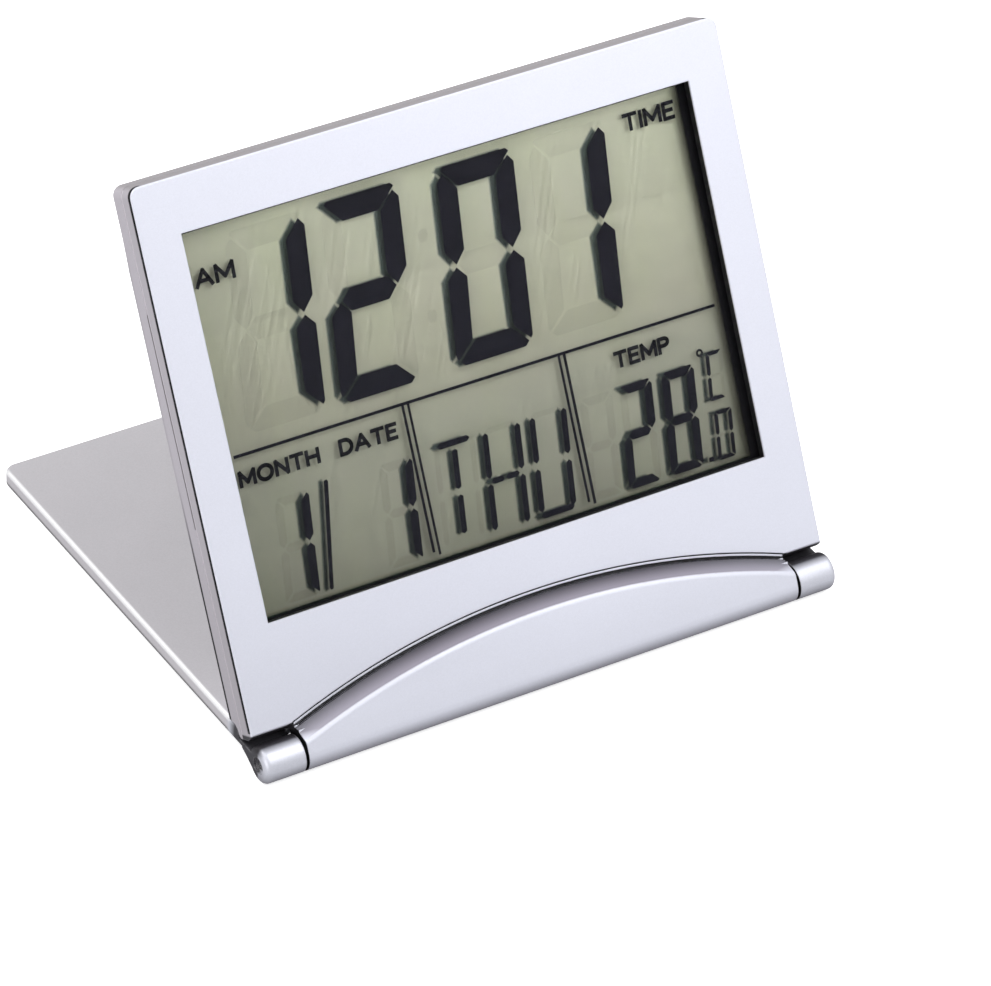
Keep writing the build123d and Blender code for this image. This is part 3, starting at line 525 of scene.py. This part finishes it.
def rear_zones(g, base):
    """grey side walls with painted shade, painted light along the parting seam, lighter back,
    painted shade at the rim, round the keys and in the sound slot
    """
    x, y, z = (g.along(axis) for axis in (ACROSS, DEPTH, UP))
    side = g.math("ABSOLUTE", x)
    # painted shade: the side walls take the darker wall greys, the back keeps its own colour
    rgb = g.mix(g.ramp(y, start=4.9, end=5.6), painted_wall_shade(g, factor=1.16), base)
    # painted light: the walls lighter along the parting seam, against its shade
    front = g.mul(g.ramp(y, start=2.82, end=2.76), g.ramp(side, start=41.0, end=41.1))
    rgb = g.mix(front, rgb, painted_wall_shade(g, factor=1.9))
    # painted shade: dark edge of the rim beside the wedge, fading upwards
    rim = g.mul(g.band(y, low=4.80, high=5.36, soft=0.05), g.ramp(side, start=41.10, end=41.30))
    rim = g.mul(rim, g.ramp(z, start=31.0, end=20.0, out=(0.12, 1.0)))
    rgb = g.mix(rim, rgb, (0.006, 0.006, 0.008))
    # painted shade in the gaps round the keys
    rgb = g.mix(g.mul(key_gap_shades(g), 0.85), rgb, (0.05, 0.05, 0.055))
    # painted shade in the sound slot
    limits = g.mul(g.ramp(side, start=41.30, end=41.20), g.band(z, low=25.9, high=53.1))
    slot_shade = g.mul(g.band(y, low=2.5, high=2.93, soft=0.02), limits)
    return g.mix(slot_shade, rgb, (0.05, 0.05, 0.055))


def cover_zones(g, base):
    """painted highlight on the upper edge of the stand plate, painted shade at the foot of its
    side walls, on the knuckles and in the gaps
    """
    side = g.math("ABSOLUTE", g.along(ACROSS, HINGE))
    out = g.along(PLATE_OUT, HINGE)
    away = g.along(PLATE_ALONG, HINGE)
    plate = g.ramp(away, start=7.0, end=8.0)
    rgb = g.mix(plate, KNUCKLE, base)
    # painted highlight along the upper edge of the plate
    edge = g.mul(g.ramp(side, start=40.95, end=41.25), g.ramp(out, start=1.75, end=2.0))
    rgb = g.mix(g.mul(g.mul(edge, plate), 0.85), rgb, (0.93, 0.93, 0.94))
    # painted shade at the foot of the plate's side walls
    shaded_foot = g.mul(g.ramp(side, start=41.2, end=41.4), g.ramp(out, start=0.85, end=0.45))
    rgb = g.mix(g.mul(g.mul(shaded_foot, plate), 0.88), rgb, (0.02, 0.02, 0.022))
    # painted shade on the top and underside of the knuckles
    knuckle = g.ramp(away, start=4.2, end=3.8)
    top = g.mul(g.ramp(away, start=-1.05, end=0.10), g.ramp(out, start=1.2, end=1.9))
    rgb = g.mix(g.mul(g.mul(top, knuckle), 0.93), rgb, (0.035, 0.032, 0.040))
    low = g.mul(g.ramp(out, start=0.3, end=-1.7), g.ramp(away, start=1.5, end=0.5))
    rgb = g.mix(g.mul(g.mul(low, knuckle), 0.70), rgb, (0.16, 0.155, 0.18))
    # painted shade in the valley between the knuckles and the plate
    valley_shade = g.mul(g.ramp(away, start=-0.15, end=0.25), g.ramp(away, start=7.3, end=5.9))
    valley_shade = g.mul(valley_shade, g.ramp(side, start=35.5, end=35.8))
    rgb = g.mix(g.mul(valley_shade, 0.95), rgb, (0.020, 0.018, 0.022))
    # painted shade on the knuckles' end faces, in the gap to the barrel
    return g.mix(end_faces(g, side, low=35.9, high=36.2), rgb, GAP_SHADE)


# ---------------------------------------------------------------------------
# Materials of the CAD pieces, by slot name
# ---------------------------------------------------------------------------
SLOT = {
    "face_silver": metallic_paint("face_silver_paint", FACE, face_zones, rough=0.46,
                                  metallic=0.10, flake=0.035, edge=0.25, tone=0.012),
    "rear_silver": metallic_paint("rear_silver_paint", REAR, rear_zones, rough=0.48,
                                  metallic=0.25, flake=0.06, edge=0.35, tone=0.02),
    "cover_silver": metallic_paint("cover_silver_paint", COVER, cover_zones, rough=0.44,
                                   metallic=0.30, flake=0.06, edge=0.45, tone=0.02,
                                   edge_radius=0.3),
    "key_grey": moulded("key_grey_plastic", KEY, rough=0.42, texture=5.0, grain=5.0,
                        edge=0.2, tone=0.05),
    "black_plastic": moulded("black_plastic_textured", (0.008, 0.008, 0.009), rough=0.55,
                             texture=10.0, grain=3.5, edge=0.2, spec=0.25),
    "clear_window": clear_sheet("clear_window_acrylic", (0.995, 0.996, 0.995), gloss=0.16,
                                rough=0.05, haze=0.05),
    "polariser": clear_sheet("polariser_film", (0.994, 0.994, 0.990), gloss=0.06, rough=0.25),
    "lcd_glass": clear_sheet("lcd_glass_sheet", (0.995, 0.997, 0.995), gloss=0.04, rough=0.05),
    "lcd_reflector": reflector_finish("lcd_reflector_foil"),
    "silicone_dark": rubber("silicone_dark_strip", (0.02, 0.02, 0.022), rough=0.7),
    "silicone_grey": rubber("silicone_grey_sheet", (0.22, 0.22, 0.23), rough=0.72),
    "pad_rubber": rubber("pad_rubber_dark", (0.028, 0.028, 0.03), rough=0.82),
    "circuit_board": board_finish("circuit_board_mask"),
    "epoxy": epoxy_finish("epoxy_dome", (0.012, 0.011, 0.011), rough=0.22),
    "thermistor_bead": epoxy_finish("thermistor_bead_coat", (0.02, 0.03, 0.06), rough=0.3),
    "plated_steel": brushed("plated_steel_nickel", (0.66, 0.65, 0.62), ACROSS, rough=0.24,
                            line=11.0, amount=0.10),
    "spring_steel": brushed("spring_steel_strip", (0.58, 0.57, 0.54), UP, rough=0.30,
                            line=16.0, amount=0.15, tarnish=(0.42, 0.36, 0.26)),
    "pin_steel": brushed("pin_steel_turned", (0.55, 0.55, 0.56), ACROSS, rough=0.26,
                         line=10.0, amount=0.12),
    "screw_steel": brushed("screw_steel_zinc", (0.50, 0.51, 0.53), DEPTH, rough=0.32,
                           line=8.0, amount=0.3, tarnish=(0.30, 0.31, 0.35)),
    "buzzer_brass": brushed("buzzer_brass_disc", (0.78, 0.56, 0.25), ACROSS, rough=0.27,
                            line=9.0, amount=0.28, tarnish=(0.42, 0.26, 0.12)),
    "wire_sleeve": moulded("wire_sleeve_pvc", (0.42, 0.02, 0.02), rough=0.38, texture=3.0,
                           grain=4.0),
}
for piece in nodes.values():
    for i, material in enumerate(piece.data.materials):
        piece.material_slots[i].material = SLOT[material.name.split(".")[0]]


# ---------------------------------------------------------------------------
# Meshes of the display; outlines are lists of (x, z) on the face
# ---------------------------------------------------------------------------
FILM = 0.004            # thickness of the shading layers


def add_to_housing(name, mesh, material):
    piece = bpy.data.objects.new(name, mesh)
    bpy.context.scene.collection.objects.link(piece)
    mesh.materials.append(material)
    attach(piece, "housing")


def neighbours(count):
    return [(i, (i + 1) % count) for i in range(count)]


def ring_verts(bm, outline, y):
    return [bm.verts.new(at_face(x, y, z)) for x, z in outline]


def quad(bm, first, second, i, j):
    """face between the points i and j of two rings"""
    bm.faces.new([first[i], first[j], second[j], second[i]])


def finished_mesh(bm):
    bmesh.ops.recalc_face_normals(bm, faces=bm.faces)
    mesh = bpy.data.meshes.new("m")
    bm.to_mesh(mesh)
    bm.free()
    return mesh


def rectangle(x0, x1, z0, z1):
    return [(x0, z0), (x1, z0), (x1, z1), (x0, z1)]


def counter_clockwise(outline):
    area = 0.0
    for i, j in neighbours(len(outline)):
        (x0, z0), (x1, z1) = outline[i], outline[j]
        area += x0 * z1 - x1 * z0
    return list(outline) if area > 0 else list(reversed(outline))


def prisms(outlines, y0, y1):
    """closed prisms over outlines, between two depths"""
    bm = bmesh.new()
    for outline in outlines:
        outline = counter_clockwise(outline)
        front = ring_verts(bm, outline, y0)
        back = ring_verts(bm, outline, y1)
        bm.faces.new(front)
        bm.faces.new(list(reversed(back)))
        for i, j in neighbours(len(outline)):
            quad(bm, front, back, j, i)
    return finished_mesh(bm)


def offset(outline, distance):
    """parallel copy of a convex outline, outwards by a distance"""
    outline = counter_clockwise(outline)
    lines = []          # a point and the unit direction of each shifted side
    for i, j in neighbours(len(outline)):
        (x0, z0), (x1, z1) = outline[i], outline[j]
        length = math.hypot(x1 - x0, z1 - z0)
        dx, dz = (x1 - x0) / length, (z1 - z0) / length
        lines.append((x0 + dz * distance, z0 - dx * distance, dx, dz))
    moved_points = []
    for i, (corner_x, corner_z) in enumerate(outline):
        ax, az, adx, adz = lines[i - 1]
        bx, bz, bdx, bdz = lines[i]
        cross = adx * bdz - adz * bdx
        if abs(cross) < 1e-6:
            moved_points.append((bx, bz))
            continue
        t = ((bx - ax) * bdz - (bz - az) * bdx) / cross
        x, z = ax + adx * t, az + adz * t
        # keep sharp corners from shooting out
        step_x, step_z = x - corner_x, z - corner_z
        limit = abs(distance) * 2.2
        step = math.hypot(step_x, step_z)
        if step > limit:
            x, z = corner_x + step_x * limit / step, corner_z + step_z * limit / step
        moved_points.append((x, z))
    return moved_points


def soft_prisms(items, y):
    """thin closed shapes with 'shade' 1 in the core and 0 at the rim.

    items: outline, offset of the core, offset of the rim, shift in depth
    """
    bm = bmesh.new()
    layer = bm.verts.layers.float.new("shade")
    for outline, core, rim, shift in items:
        rings = []
        for distance, shade in ((core, 1.0), ((core + rim) / 2, 0.45), (rim, 0.0)):
            edge = offset(outline, distance)
            ring = ring_verts(bm, edge, y + shift)
            for vert in ring:
                vert[layer] = shade
            rings.append(ring)
        rings.append(ring_verts(bm, edge, y + shift + FILM))
        bm.faces.new(rings[0])
        for first, second in zip(rings[:-1], rings[1:]):
            for i, j in neighbours(len(first)):
                quad(bm, first, second, j, i)
        bm.faces.new(list(reversed(rings[-1])))
    return finished_mesh(bm)


def frame_mesh(outer, inner, y0, y1):
    """closed frame between two rectangles (x0, x1, z0, z1) and two depths"""
    bm = bmesh.new()
    outer_front, outer_back = [ring_verts(bm, rectangle(*outer), y) for y in (y0, y1)]
    inner_front, inner_back = [ring_verts(bm, rectangle(*inner), y) for y in (y0, y1)]
    for i, j in neighbours(4):
        quad(bm, outer_front, inner_front, i, j)
        quad(bm, outer_back, inner_back, j, i)
        quad(bm, outer_front, outer_back, j, i)
        quad(bm, inner_front, inner_back, i, j)
    return finished_mesh(bm)


def annulus(x, z, inner, outer, y0, y1, count=20):
    """closed flat ring about (x, z) between two radii and two depths"""
    bm = bmesh.new()
    rows = []
    for y in (y0, y1):
        for r in (inner, outer):
            angles = [2 * math.pi * i / count for i in range(count)]
            circle = [(x + r * math.cos(a), z + r * math.sin(a)) for a in angles]
            rows.append(ring_verts(bm, circle, y))
    inner_front, outer_front, inner_back, outer_back = rows
    for i, j in neighbours(count):
        quad(bm, inner_front, outer_front, i, j)
        quad(bm, inner_back, outer_back, j, i)
        quad(bm, outer_front, outer_back, i, j)
        quad(bm, inner_front, inner_back, j, i)
    return finished_mesh(bm)


def shade_frame(inner, outer, y, shades):
    """thin frame between two rectangles whose 'shade' steps outwards through a list"""
    bm = bmesh.new()
    layer = bm.verts.layers.float.new("shade")
    rings = []
    for k, shade in enumerate(shades):
        t = k / (len(shades) - 1)
        ring = ring_verts(bm, rectangle(*[a + (b - a) * t for a, b in zip(inner, outer)]), y)
        for vert in ring:
            vert[layer] = shade
        rings.append(ring)
    outer_back = ring_verts(bm, rectangle(*outer), y + FILM)
    inner_back = ring_verts(bm, rectangle(*inner), y + FILM)
    for first, second in zip(rings[:-1], rings[1:]):
        for i, j in neighbours(4):
            quad(bm, first, second, i, j)
    for i, j in neighbours(4):
        quad(bm, rings[-1], outer_back, i, j)
        quad(bm, rings[0], inner_back, j, i)
        quad(bm, outer_back, inner_back, i, j)
    return finished_mesh(bm)


# ---------------------------------------------------------------------------
# Display: seven-segment numerals, segment letters and captions
# ---------------------------------------------------------------------------
SLANT = 0.107                               # lean to the right per height
INK_FRONT, INK_BACK = 2.900, 2.915          # depths of the liquid-crystal layer
PRINT_FRONT, PRINT_BACK = INK_FRONT - 0.02, INK_FRONT - 0.006   # rules and captions
LETTER_MIDDLE = 20.2                        # height about which the letters lean
COLON_MIDDLE = 47.5

SEGMENTS_ON = {"0": "abcdef", "1": "bc", "2": "abged", "8": "abcdefg", "C": "adef", "": ""}
BIG = dict(half_width=5.5, top=59.9, middle=COLON_MIDDLE, bottom=35.2,
           stem=2.75, bar=2.85, gap=0.16)
SMALL = dict(half_width=2.4, top=26.55, middle=20.15, bottom=13.5,
             stem=1.15, bar=1.15, gap=0.12)
TINY = dict(stem=0.55, bar=0.5, gap=0.06)
TINY_LOW = dict(half_width=1.3, top=19.7, middle=16.6, bottom=13.45, **TINY)
TINY_HIGH = dict(half_width=1.2, top=27.3, middle=24.2, bottom=21.1, **TINY)
# centre x, character, sizes
NUMERALS = [
    (-25.15, "1", BIG), (-11.9, "2", BIG), (4.55, "0", BIG), (17.8, "1", BIG),
    (-28.7, "1", SMALL), (-14.06, "1", SMALL), (20.8, "2", SMALL), (27.1, "8", SMALL),
    (15.0, "", SMALL), (32.65, "0", TINY_LOW), (33.0, "C", TINY_HIGH),
]


def leaned(points, middle, lean=SLANT):
    """outline sheared sideways about a height"""
    return [(x + lean * (z - middle), z) for x, z in points]


def segments(centre, half_width, top, middle, bottom, stem, bar, gap):
    """outlines of the segments by letter; stem and bar are the stroke widths"""
    left, right = centre - half_width, centre + half_width
    half = bar / 2
    blunt = stem * 0.30             # blunted outer corners
    inset = gap * 1.3               # sideways gap at the ends of the bars
    shapes = {}
    shapes["b"] = [(right - blunt, top - half * 0.62), (right, top - half * 1.30),
                   (right, middle + half * 1.27 + gap), (right - stem * 0.53, middle + gap),
                   (right - stem, middle + half * 1.12 + gap),
                   (right - stem, top - bar - gap * 1.4)]
    shapes["c"] = [(right - stem * 0.50, middle - gap), (right, middle - half - gap),
                   (right, bottom + half * 0.86), (right - blunt * 0.35, bottom + half * 0.58),
                   (right - stem * 0.92, bottom + bar + gap * 0.6),
                   (right - stem, middle - half - gap)]
    for mirrored, source in (("f", "b"), ("e", "c")):
        shapes[mirrored] = [(left + right - x, z) for x, z in shapes[source]]
    # from the sides: outer corners, blunted corners and inner corners of the bars
    outer = blunt * 0.45 + inset
    inner = stem + inset * 1.2
    blunted = blunt + inset
    shapes["a"] = [(left + outer, top - half * 0.30), (left + blunted, top),
                   (right - blunted, top), (right - outer, top - half * 0.30),
                   (right - inner, top - bar), (left + inner, top - bar)]
    blunted = blunt + inset * 1.5
    shapes["d"] = [(left + outer, bottom + half * 0.42), (left + blunted, bottom),
                   (right - blunted, bottom), (right - outer, bottom + half * 0.42),
                   (right - inner, bottom + bar), (left + inner, bottom + bar)]
    tip = stem * 0.53 + inset
    inner = stem + inset * 0.6
    shapes["g"] = [(left + tip, middle), (left + inner, middle + half),
                   (right - inner, middle + half), (right - tip, middle),
                   (right - inner, middle - half), (left + inner, middle - half)]
    return {letter: leaned(points, middle) for letter, points in shapes.items()}


def upright_bar(x0, x1, z0, z1, cut):
    """leaning stroke between two heights, pointed at its ends"""
    xm = (x0 + x1) / 2
    return leaned([(x0, z0 + cut), (xm, z0), (x1, z0 + cut),
                   (x1, z1 - cut), (xm, z1), (x0, z1 - cut)], LETTER_MIDDLE)


def level_bar(x0, x1, z0, z1, cut, middle=LETTER_MIDDLE):
    """level stroke, pointed at its ends"""
    zm = (z0 + z1) / 2
    return leaned([(x0, zm), (x0 + cut, z0), (x1 - cut, z0),
                   (x1, zm), (x1 - cut, z1), (x0 + cut, z1)], middle)


# strokes of the three letters: x0, x1, z0, z1, length of the point
LETTER_STEMS = [
    # first letter
    (-6.05, -5.25, 20.55, 25.6, 0.25), (-5.95, -5.15, 14.95, 19.85, 0.25),
    # second letter
    (-1.60, -0.78, 20.50, 26.3, 0.4), (-1.60, -0.78, 14.05, 19.9, 0.4),
    (3.05, 3.87, 20.50, 26.3, 0.4), (3.05, 3.87, 13.8, 19.9, 0.4),
    # third letter
    (5.23, 6.05, 20.50, 26.3, 0.4), (5.23, 6.05, 14.3, 19.8, 0.4),
    (9.80, 10.62, 20.50, 26.3, 0.4), (9.80, 10.62, 14.0, 19.8, 0.4),
]
LETTER_BARS = [
    (-8.05, -3.35, 26.02, 26.82, 0.45), (-0.95, 0.95, 19.75, 20.5, 0.3),
    (1.15, 3.1, 19.75, 20.5, 0.3), (5.45, 10.35, 13.5, 14.3, 0.4),
]
UNLIT_STEMS = [
    (-8.6, -7.8, 20.55, 26.2, 0.4), (-8.6, -7.8, 14.1, 19.8, 0.4),
    (-3.5, -2.7, 20.55, 26.2, 0.4), (-3.5, -2.7, 14.1, 19.8, 0.4),
]
UNLIT_BARS = [(-1.2, 3.4, 26.02, 26.82, 0.45), (5.45, 10.35, 26.02, 26.82, 0.45)]
UNLIT_COLON = [(-4.5, -2.9, 51.6, 53.2, 0.35), (-4.5, -2.9, 41.6, 43.2, 0.35)]
# slash between month and day, and the decimal point
SLASH = [(-23.36, 26.85), (-22.98, 26.95), (-22.80, 26.65),
         (-25.14, 13.62), (-25.50, 13.50), (-25.66, 13.86)]
POINT = [(29.62, 13.62), (30.34, 13.62), (30.42, 14.22), (29.70, 14.22)]

lit, lit_upright, lit_level, unlit = [], [], [], []
for centre, character, sizes in NUMERALS:
    for letter, outline in segments(centre, **sizes).items():
        if letter in SEGMENTS_ON[character]:
            lit.append(outline)
            (lit_level if letter in "adg" else lit_upright).append(outline)
        else:
            unlit.append(outline)
letter_stems = [upright_bar(*row) for row in LETTER_STEMS]
letter_bars = [level_bar(*row) for row in LETTER_BARS]
lit += letter_stems + letter_bars + [SLASH, POINT]
lit_upright += letter_stems + [SLASH]
lit_level += letter_bars + [POINT]
unlit += [upright_bar(*row) for row in UNLIT_STEMS]
unlit += [level_bar(*row) for row in UNLIT_BARS]
unlit += [level_bar(*row, middle=COLON_MIDDLE) for row in UNLIT_COLON]

segment_ink = ink("lcd_segment_dark", (0.0085, 0.0082, 0.014), rough=0.55, spec=0.06)
add_to_housing("lcd_segments_on", prisms(lit, INK_FRONT, INK_BACK), segment_ink)

# rules: one level, slightly tilted, and two upright pairs
RULES = [
    [(-34.45, 32.86), (34.85, 32.66), (34.85, 33.04), (-34.45, 33.26)],
    rectangle(-10.98, -10.62, 13.9, 32.9),
    rectangle(-10.18, -9.84, 13.4, 32.9),
    rectangle(11.55, 11.90, 13.7, 32.8),
    rectangle(12.32, 12.72, 13.3, 32.8),
]
add_to_housing("lcd_rules", prisms(RULES, PRINT_FRONT, PRINT_BACK), segment_ink)


def arc(cx, cz, rx, rz, start, end, count):
    """points of an elliptic arc between two angles in degrees"""
    angles = [math.radians(start + (end - start) * i / count) for i in range(count + 1)]
    return [(cx + rx * math.cos(a), cz + rz * math.sin(a)) for a in angles]


# block capitals as strokes on a unit cell: advance width, then polylines
D_BOWL = arc(0.30, 0.5, 0.44, 0.5, 90, -90, 10)[1:]
P_BOWL = arc(0.34, 0.74, 0.28, 0.26, 90, -90, 8)[1:]
LETTERS = {
    "A": (0.86, [[(0.0, 0.0), (0.43, 1.0), (0.86, 0.0)], [(0.16, 0.33), (0.70, 0.33)]]),
    "D": (0.74, [[(0.0, 0.0), (0.0, 1.0)],
                 [(0.0, 1.0), (0.30, 1.0), *D_BOWL, (0.0, 0.0)]]),
    "E": (0.58, [[(0.58, 1.0), (0.0, 1.0), (0.0, 0.0), (0.58, 0.0)],
                 [(0.0, 0.52), (0.50, 0.52)]]),
    "H": (0.74, [[(0.0, 0.0), (0.0, 1.0)], [(0.74, 0.0), (0.74, 1.0)],
                 [(0.0, 0.52), (0.74, 0.52)]]),
    "I": (0.0, [[(0.0, 0.0), (0.0, 1.0)]]),
    "M": (0.92, [[(0.0, 0.0), (0.0, 1.0), (0.46, 0.22), (0.92, 1.0), (0.92, 0.0)]]),
    "N": (0.74, [[(0.0, 0.0), (0.0, 1.0), (0.74, 0.0), (0.74, 1.0)]]),
    "O": (0.90, [arc(0.45, 0.5, 0.45, 0.5, 90, 450, 20)]),
    "P": (0.62, [[(0.0, 0.0), (0.0, 1.0), (0.34, 1.0), *P_BOWL, (0.0, 0.48)]]),
    "T": (0.76, [[(0.0, 1.0), (0.76, 1.0)], [(0.38, 0.0), (0.38, 1.0)]]),
}
STROKE = 0.50                       # width of the caption strokes
STROKE_OVERRUN = STROKE * 0.34      # how far a stroke runs past its ends
LETTER_GAP = 0.28                   # on the unit cell
CAPTION_LEAN = SLANT * 0.35
# text, x0, x1, z0, z1
CAPTIONS = [
    ("AM", -34.5, -28.9, 54.15, 56.6), ("TIME", 27.1, 34.8, 57.25, 59.65),
    ("MONTH", -34.5, -23.15, 29.05, 31.25), ("DATE", -20.5, -12.15, 29.0, 31.2),
    ("TEMP", 19.1, 27.4, 28.8, 31.05),
]


def stroke(ax, az, bx, bz):
    """outline of a straight stroke from a to b"""
    length = math.hypot(bx - ax, bz - az)
    ux, uz = (bx - ax) / length, (bz - az) / length
    ex, ez = ux * STROKE_OVERRUN, uz * STROKE_OVERRUN
    px, pz = -uz * STROKE / 2, ux * STROKE / 2
    return [(ax - ex - px, az - ez - pz), (bx + ex - px, bz + ez - pz),
            (bx + ex + px, bz + ez + pz), (ax - ex + px, az - ez + pz)]


def caption(text, x0, x1, z0, z1):
    """text in plain strokes, fitted to a box on the display"""
    total = sum(LETTERS[c][0] for c in text) + LETTER_GAP * (len(text) - 1)
    height = z1 - z0 - STROKE
    unit = (x1 - x0 - STROKE) / total
    outlines = []
    cursor = 0.0
    for c in text:
        advance, lines = LETTERS[c]
        for line in lines:
            points = [(x0 + STROKE / 2 + (cursor + x) * unit, z0 + STROKE / 2 + z * height)
                      for x, z in line]
            for start, end in zip(points[:-1], points[1:]):
                outlines.append(leaned(stroke(*start, *end), z0, CAPTION_LEAN))
        cursor += advance + LETTER_GAP
    return prisms(outlines, PRINT_FRONT, PRINT_BACK)


caption_ink = ink("lcd_caption_dark", (0.010, 0.010, 0.014), rough=0.55, spec=0.06)
for text, *box in CAPTIONS:
    add_to_housing("lcd_caption_" + text.lower(), caption(text, *box), caption_ink)
degree_ring = annulus(31.35, 27.55, inner=0.22, outer=0.52, y0=PRINT_FRONT, y1=PRINT_BACK)
add_to_housing("lcd_degree_ring", degree_ring, caption_ink)

# ---------------------------------------------------------------------------
# Shading layers and window border
# ---------------------------------------------------------------------------
# unlit segments, barely visible
unlit_veil = veil("lcd_segment_off", (0.78, 0.765, 0.77), strength=0.27, uneven=0.3)
unlit_mesh = soft_prisms([(p, -0.06, 0.02, 0.0) for p in unlit], INK_FRONT + 0.008)
add_to_housing("lcd_segments_off", unlit_mesh, unlit_veil)

# soft shadows of the dark segments on the reflector, thrown left and a little down
THROW_DOWN = -0.05
THROW_WIDE, THROW_MEDIUM, THROW_FINE = -0.58, -0.46, -0.40      # by width of the stroke
WIDE_STROKE, FINE_STROKE = 1.6, 1.15
SHADOW_DEPTH = 3.596


def throw(outline):
    """sideways throw of a stroke's shadow, less for the fine strokes"""
    heights = [z for x, z in outline]
    limit = min(heights) + 0.6 * (max(heights) - min(heights))
    lower = [x for x, z in outline if z < limit]
    width = max(lower) - min(lower)
    if width > WIDE_STROKE:
        return THROW_WIDE
    return THROW_FINE if width < FINE_STROKE else THROW_MEDIUM


def thrown(outline, dx):
    return [(x + dx, z + THROW_DOWN) for x, z in outline]


shadow_veil = veil("lcd_segment_shadow", (0.155, 0.20, 0.25), strength=0.94, uneven=0.12)
shadows = [(thrown(p, throw(p)), -0.14, 0.20, 0.0) for p in lit_upright]
shadows += [(thrown(p, THROW_WIDE), -0.16, 0.20, 0.006) for p in lit_level]
add_to_housing("lcd_segment_shadows", soft_prisms(shadows, SHADOW_DEPTH), shadow_veil)

# printed black border on the back of the window
border_ink = ink("window_border_black", (0.006, 0.006, 0.0075), rough=0.6, spec=0.1)
border = frame_mesh(outer=(-36.45, 36.45, 12.45, 62.15), inner=(-35.2, 35.2, 12.9, 61.36),
                    y0=2.028, y1=2.060)
add_to_housing("window_border", border, border_ink)

# shade of the deep frame on the reflector, on all four sides
edge_veil = veil("lcd_edge_shade", (0.03, 0.028, 0.025), strength=0.98, uneven=0.05)
edge_shade = shade_frame(inner=(-35.0, 35.0, 13.25, 60.95), outer=(-36.3, 36.3, 12.2, 62.1),
                         y=3.586, shades=(0.0, 0.06, 0.22, 0.5, 0.85, 1.0))
add_to_housing("lcd_edge_shade", edge_shade, edge_veil)

# ---------------------------------------------------------------------------
# Stage, in scene metres: pale floor, soft light, camera
# ---------------------------------------------------------------------------
FLOOR_HALF = 3.0
scene = bpy.context.scene


def floor_white():
    """floor that glows for the camera but lights the clock only as a mid grey"""
    g = Graph("floor_white")
    rgb = g.mix(g.noise(scale=0.01, detail=2), (0.93, 0.93, 0.935), (0.95, 0.95, 0.955))
    seen = g.principled(Base_Color=rgb, Roughness=0.75, Specular_IOR_Level=0.2,
                        Emission_Color=(1.0, 1.0, 1.0), Emission_Strength=0.62)
    unseen = g.diffuse((0.42, 0.42, 0.43))
    return g.finish(g.mix_shader(g.camera_ray(), unseen, seen))


floor_mesh = bpy.data.meshes.new("floor")
corners = rectangle(-FLOOR_HALF, FLOOR_HALF, -FLOOR_HALF, FLOOR_HALF)
floor_mesh.from_pydata([(x, y, 0) for x, y in corners], [], [(0, 1, 2, 3)])
floor = bpy.data.objects.new("floor", floor_mesh)
scene.collection.objects.link(floor)
floor_mesh.materials.append(floor_white())

world = bpy.data.worlds.new("world")
scene.world = world
world.use_nodes = True
world.node_tree.nodes.clear()
world_output = world.node_tree.nodes.new("ShaderNodeOutputWorld")
background = world.node_tree.nodes.new("ShaderNodeBackground")
background.inputs["Color"].default_value = (1.0, 1.0, 1.0, 1)
background.inputs["Strength"].default_value = 0.50
world.node_tree.links.new(background.outputs[0], world_output.inputs["Surface"])


def area_light(name, location, target, size, power, colour):
    """square area light aimed at a target"""
    data = bpy.data.lights.new(name, "AREA")
    data.shape = "RECTANGLE"
    data.size = size
    data.size_y = size
    data.energy = power
    data.color = colour
    light = bpy.data.objects.new(name, data)
    scene.collection.objects.link(light)
    light.location = location
    aim = Vector(target) - Vector(location)
    light.rotation_euler = aim.to_track_quat("-Z", "Y").to_euler()


COOL = (0.985, 0.99, 1.0)
area_light("near_front", location=at_face(75, -170, 150), target=at_face(0, 0, 45),
           size=0.18, power=0.345, colour=COOL)
area_light("key", location=(0.45, -0.95, 0.85), target=(0.0, 0.0, 0.03),
           size=0.55, power=1.4, colour=COOL)
area_light("left", location=(-1.0, -0.30, 0.22), target=(0.0, 0.0, 0.03),
           size=0.40, power=3.6, colour=(1.0, 0.995, 1.0))
area_light("above", location=(-0.45, 0.35, 0.75), target=(0.0, 0.02, 0.02),
           size=0.45, power=4.4, colour=(1.0, 1.0, 1.0))

camera_data = bpy.data.cameras.new("camera")
camera = bpy.data.objects.new("camera", camera_data)
scene.collection.objects.link(camera)
camera_data.sensor_width = 36.0
camera_data.lens = 223.094652
camera_data.clip_start = 0.01
camera_data.clip_end = 50.0
camera.location = at_face(-331.74, -661.86, 186.36)
# viewing direction and right-hand direction in the housing's frame
forward = (ACROSS * 0.43470 + DEPTH * 0.87320 + UP * -0.22035).normalized()
right = (ACROSS * 0.85500 + DEPTH * -0.47701 + UP * -0.20357).normalized()
right = (right - forward * right.dot(forward)).normalized()
above = right.cross(forward)
camera.rotation_euler = Matrix((right, above, -forward)).transposed().to_euler()
scene.camera = camera

scene.view_settings.view_transform = "Standard"
scene.view_settings.look = "None"
scene.cycles.transparent_max_bounces = 40
scene.cycles.max_bounces = 7
scene.cycles.diffuse_bounces = 3
scene.cycles.glossy_bounces = 3
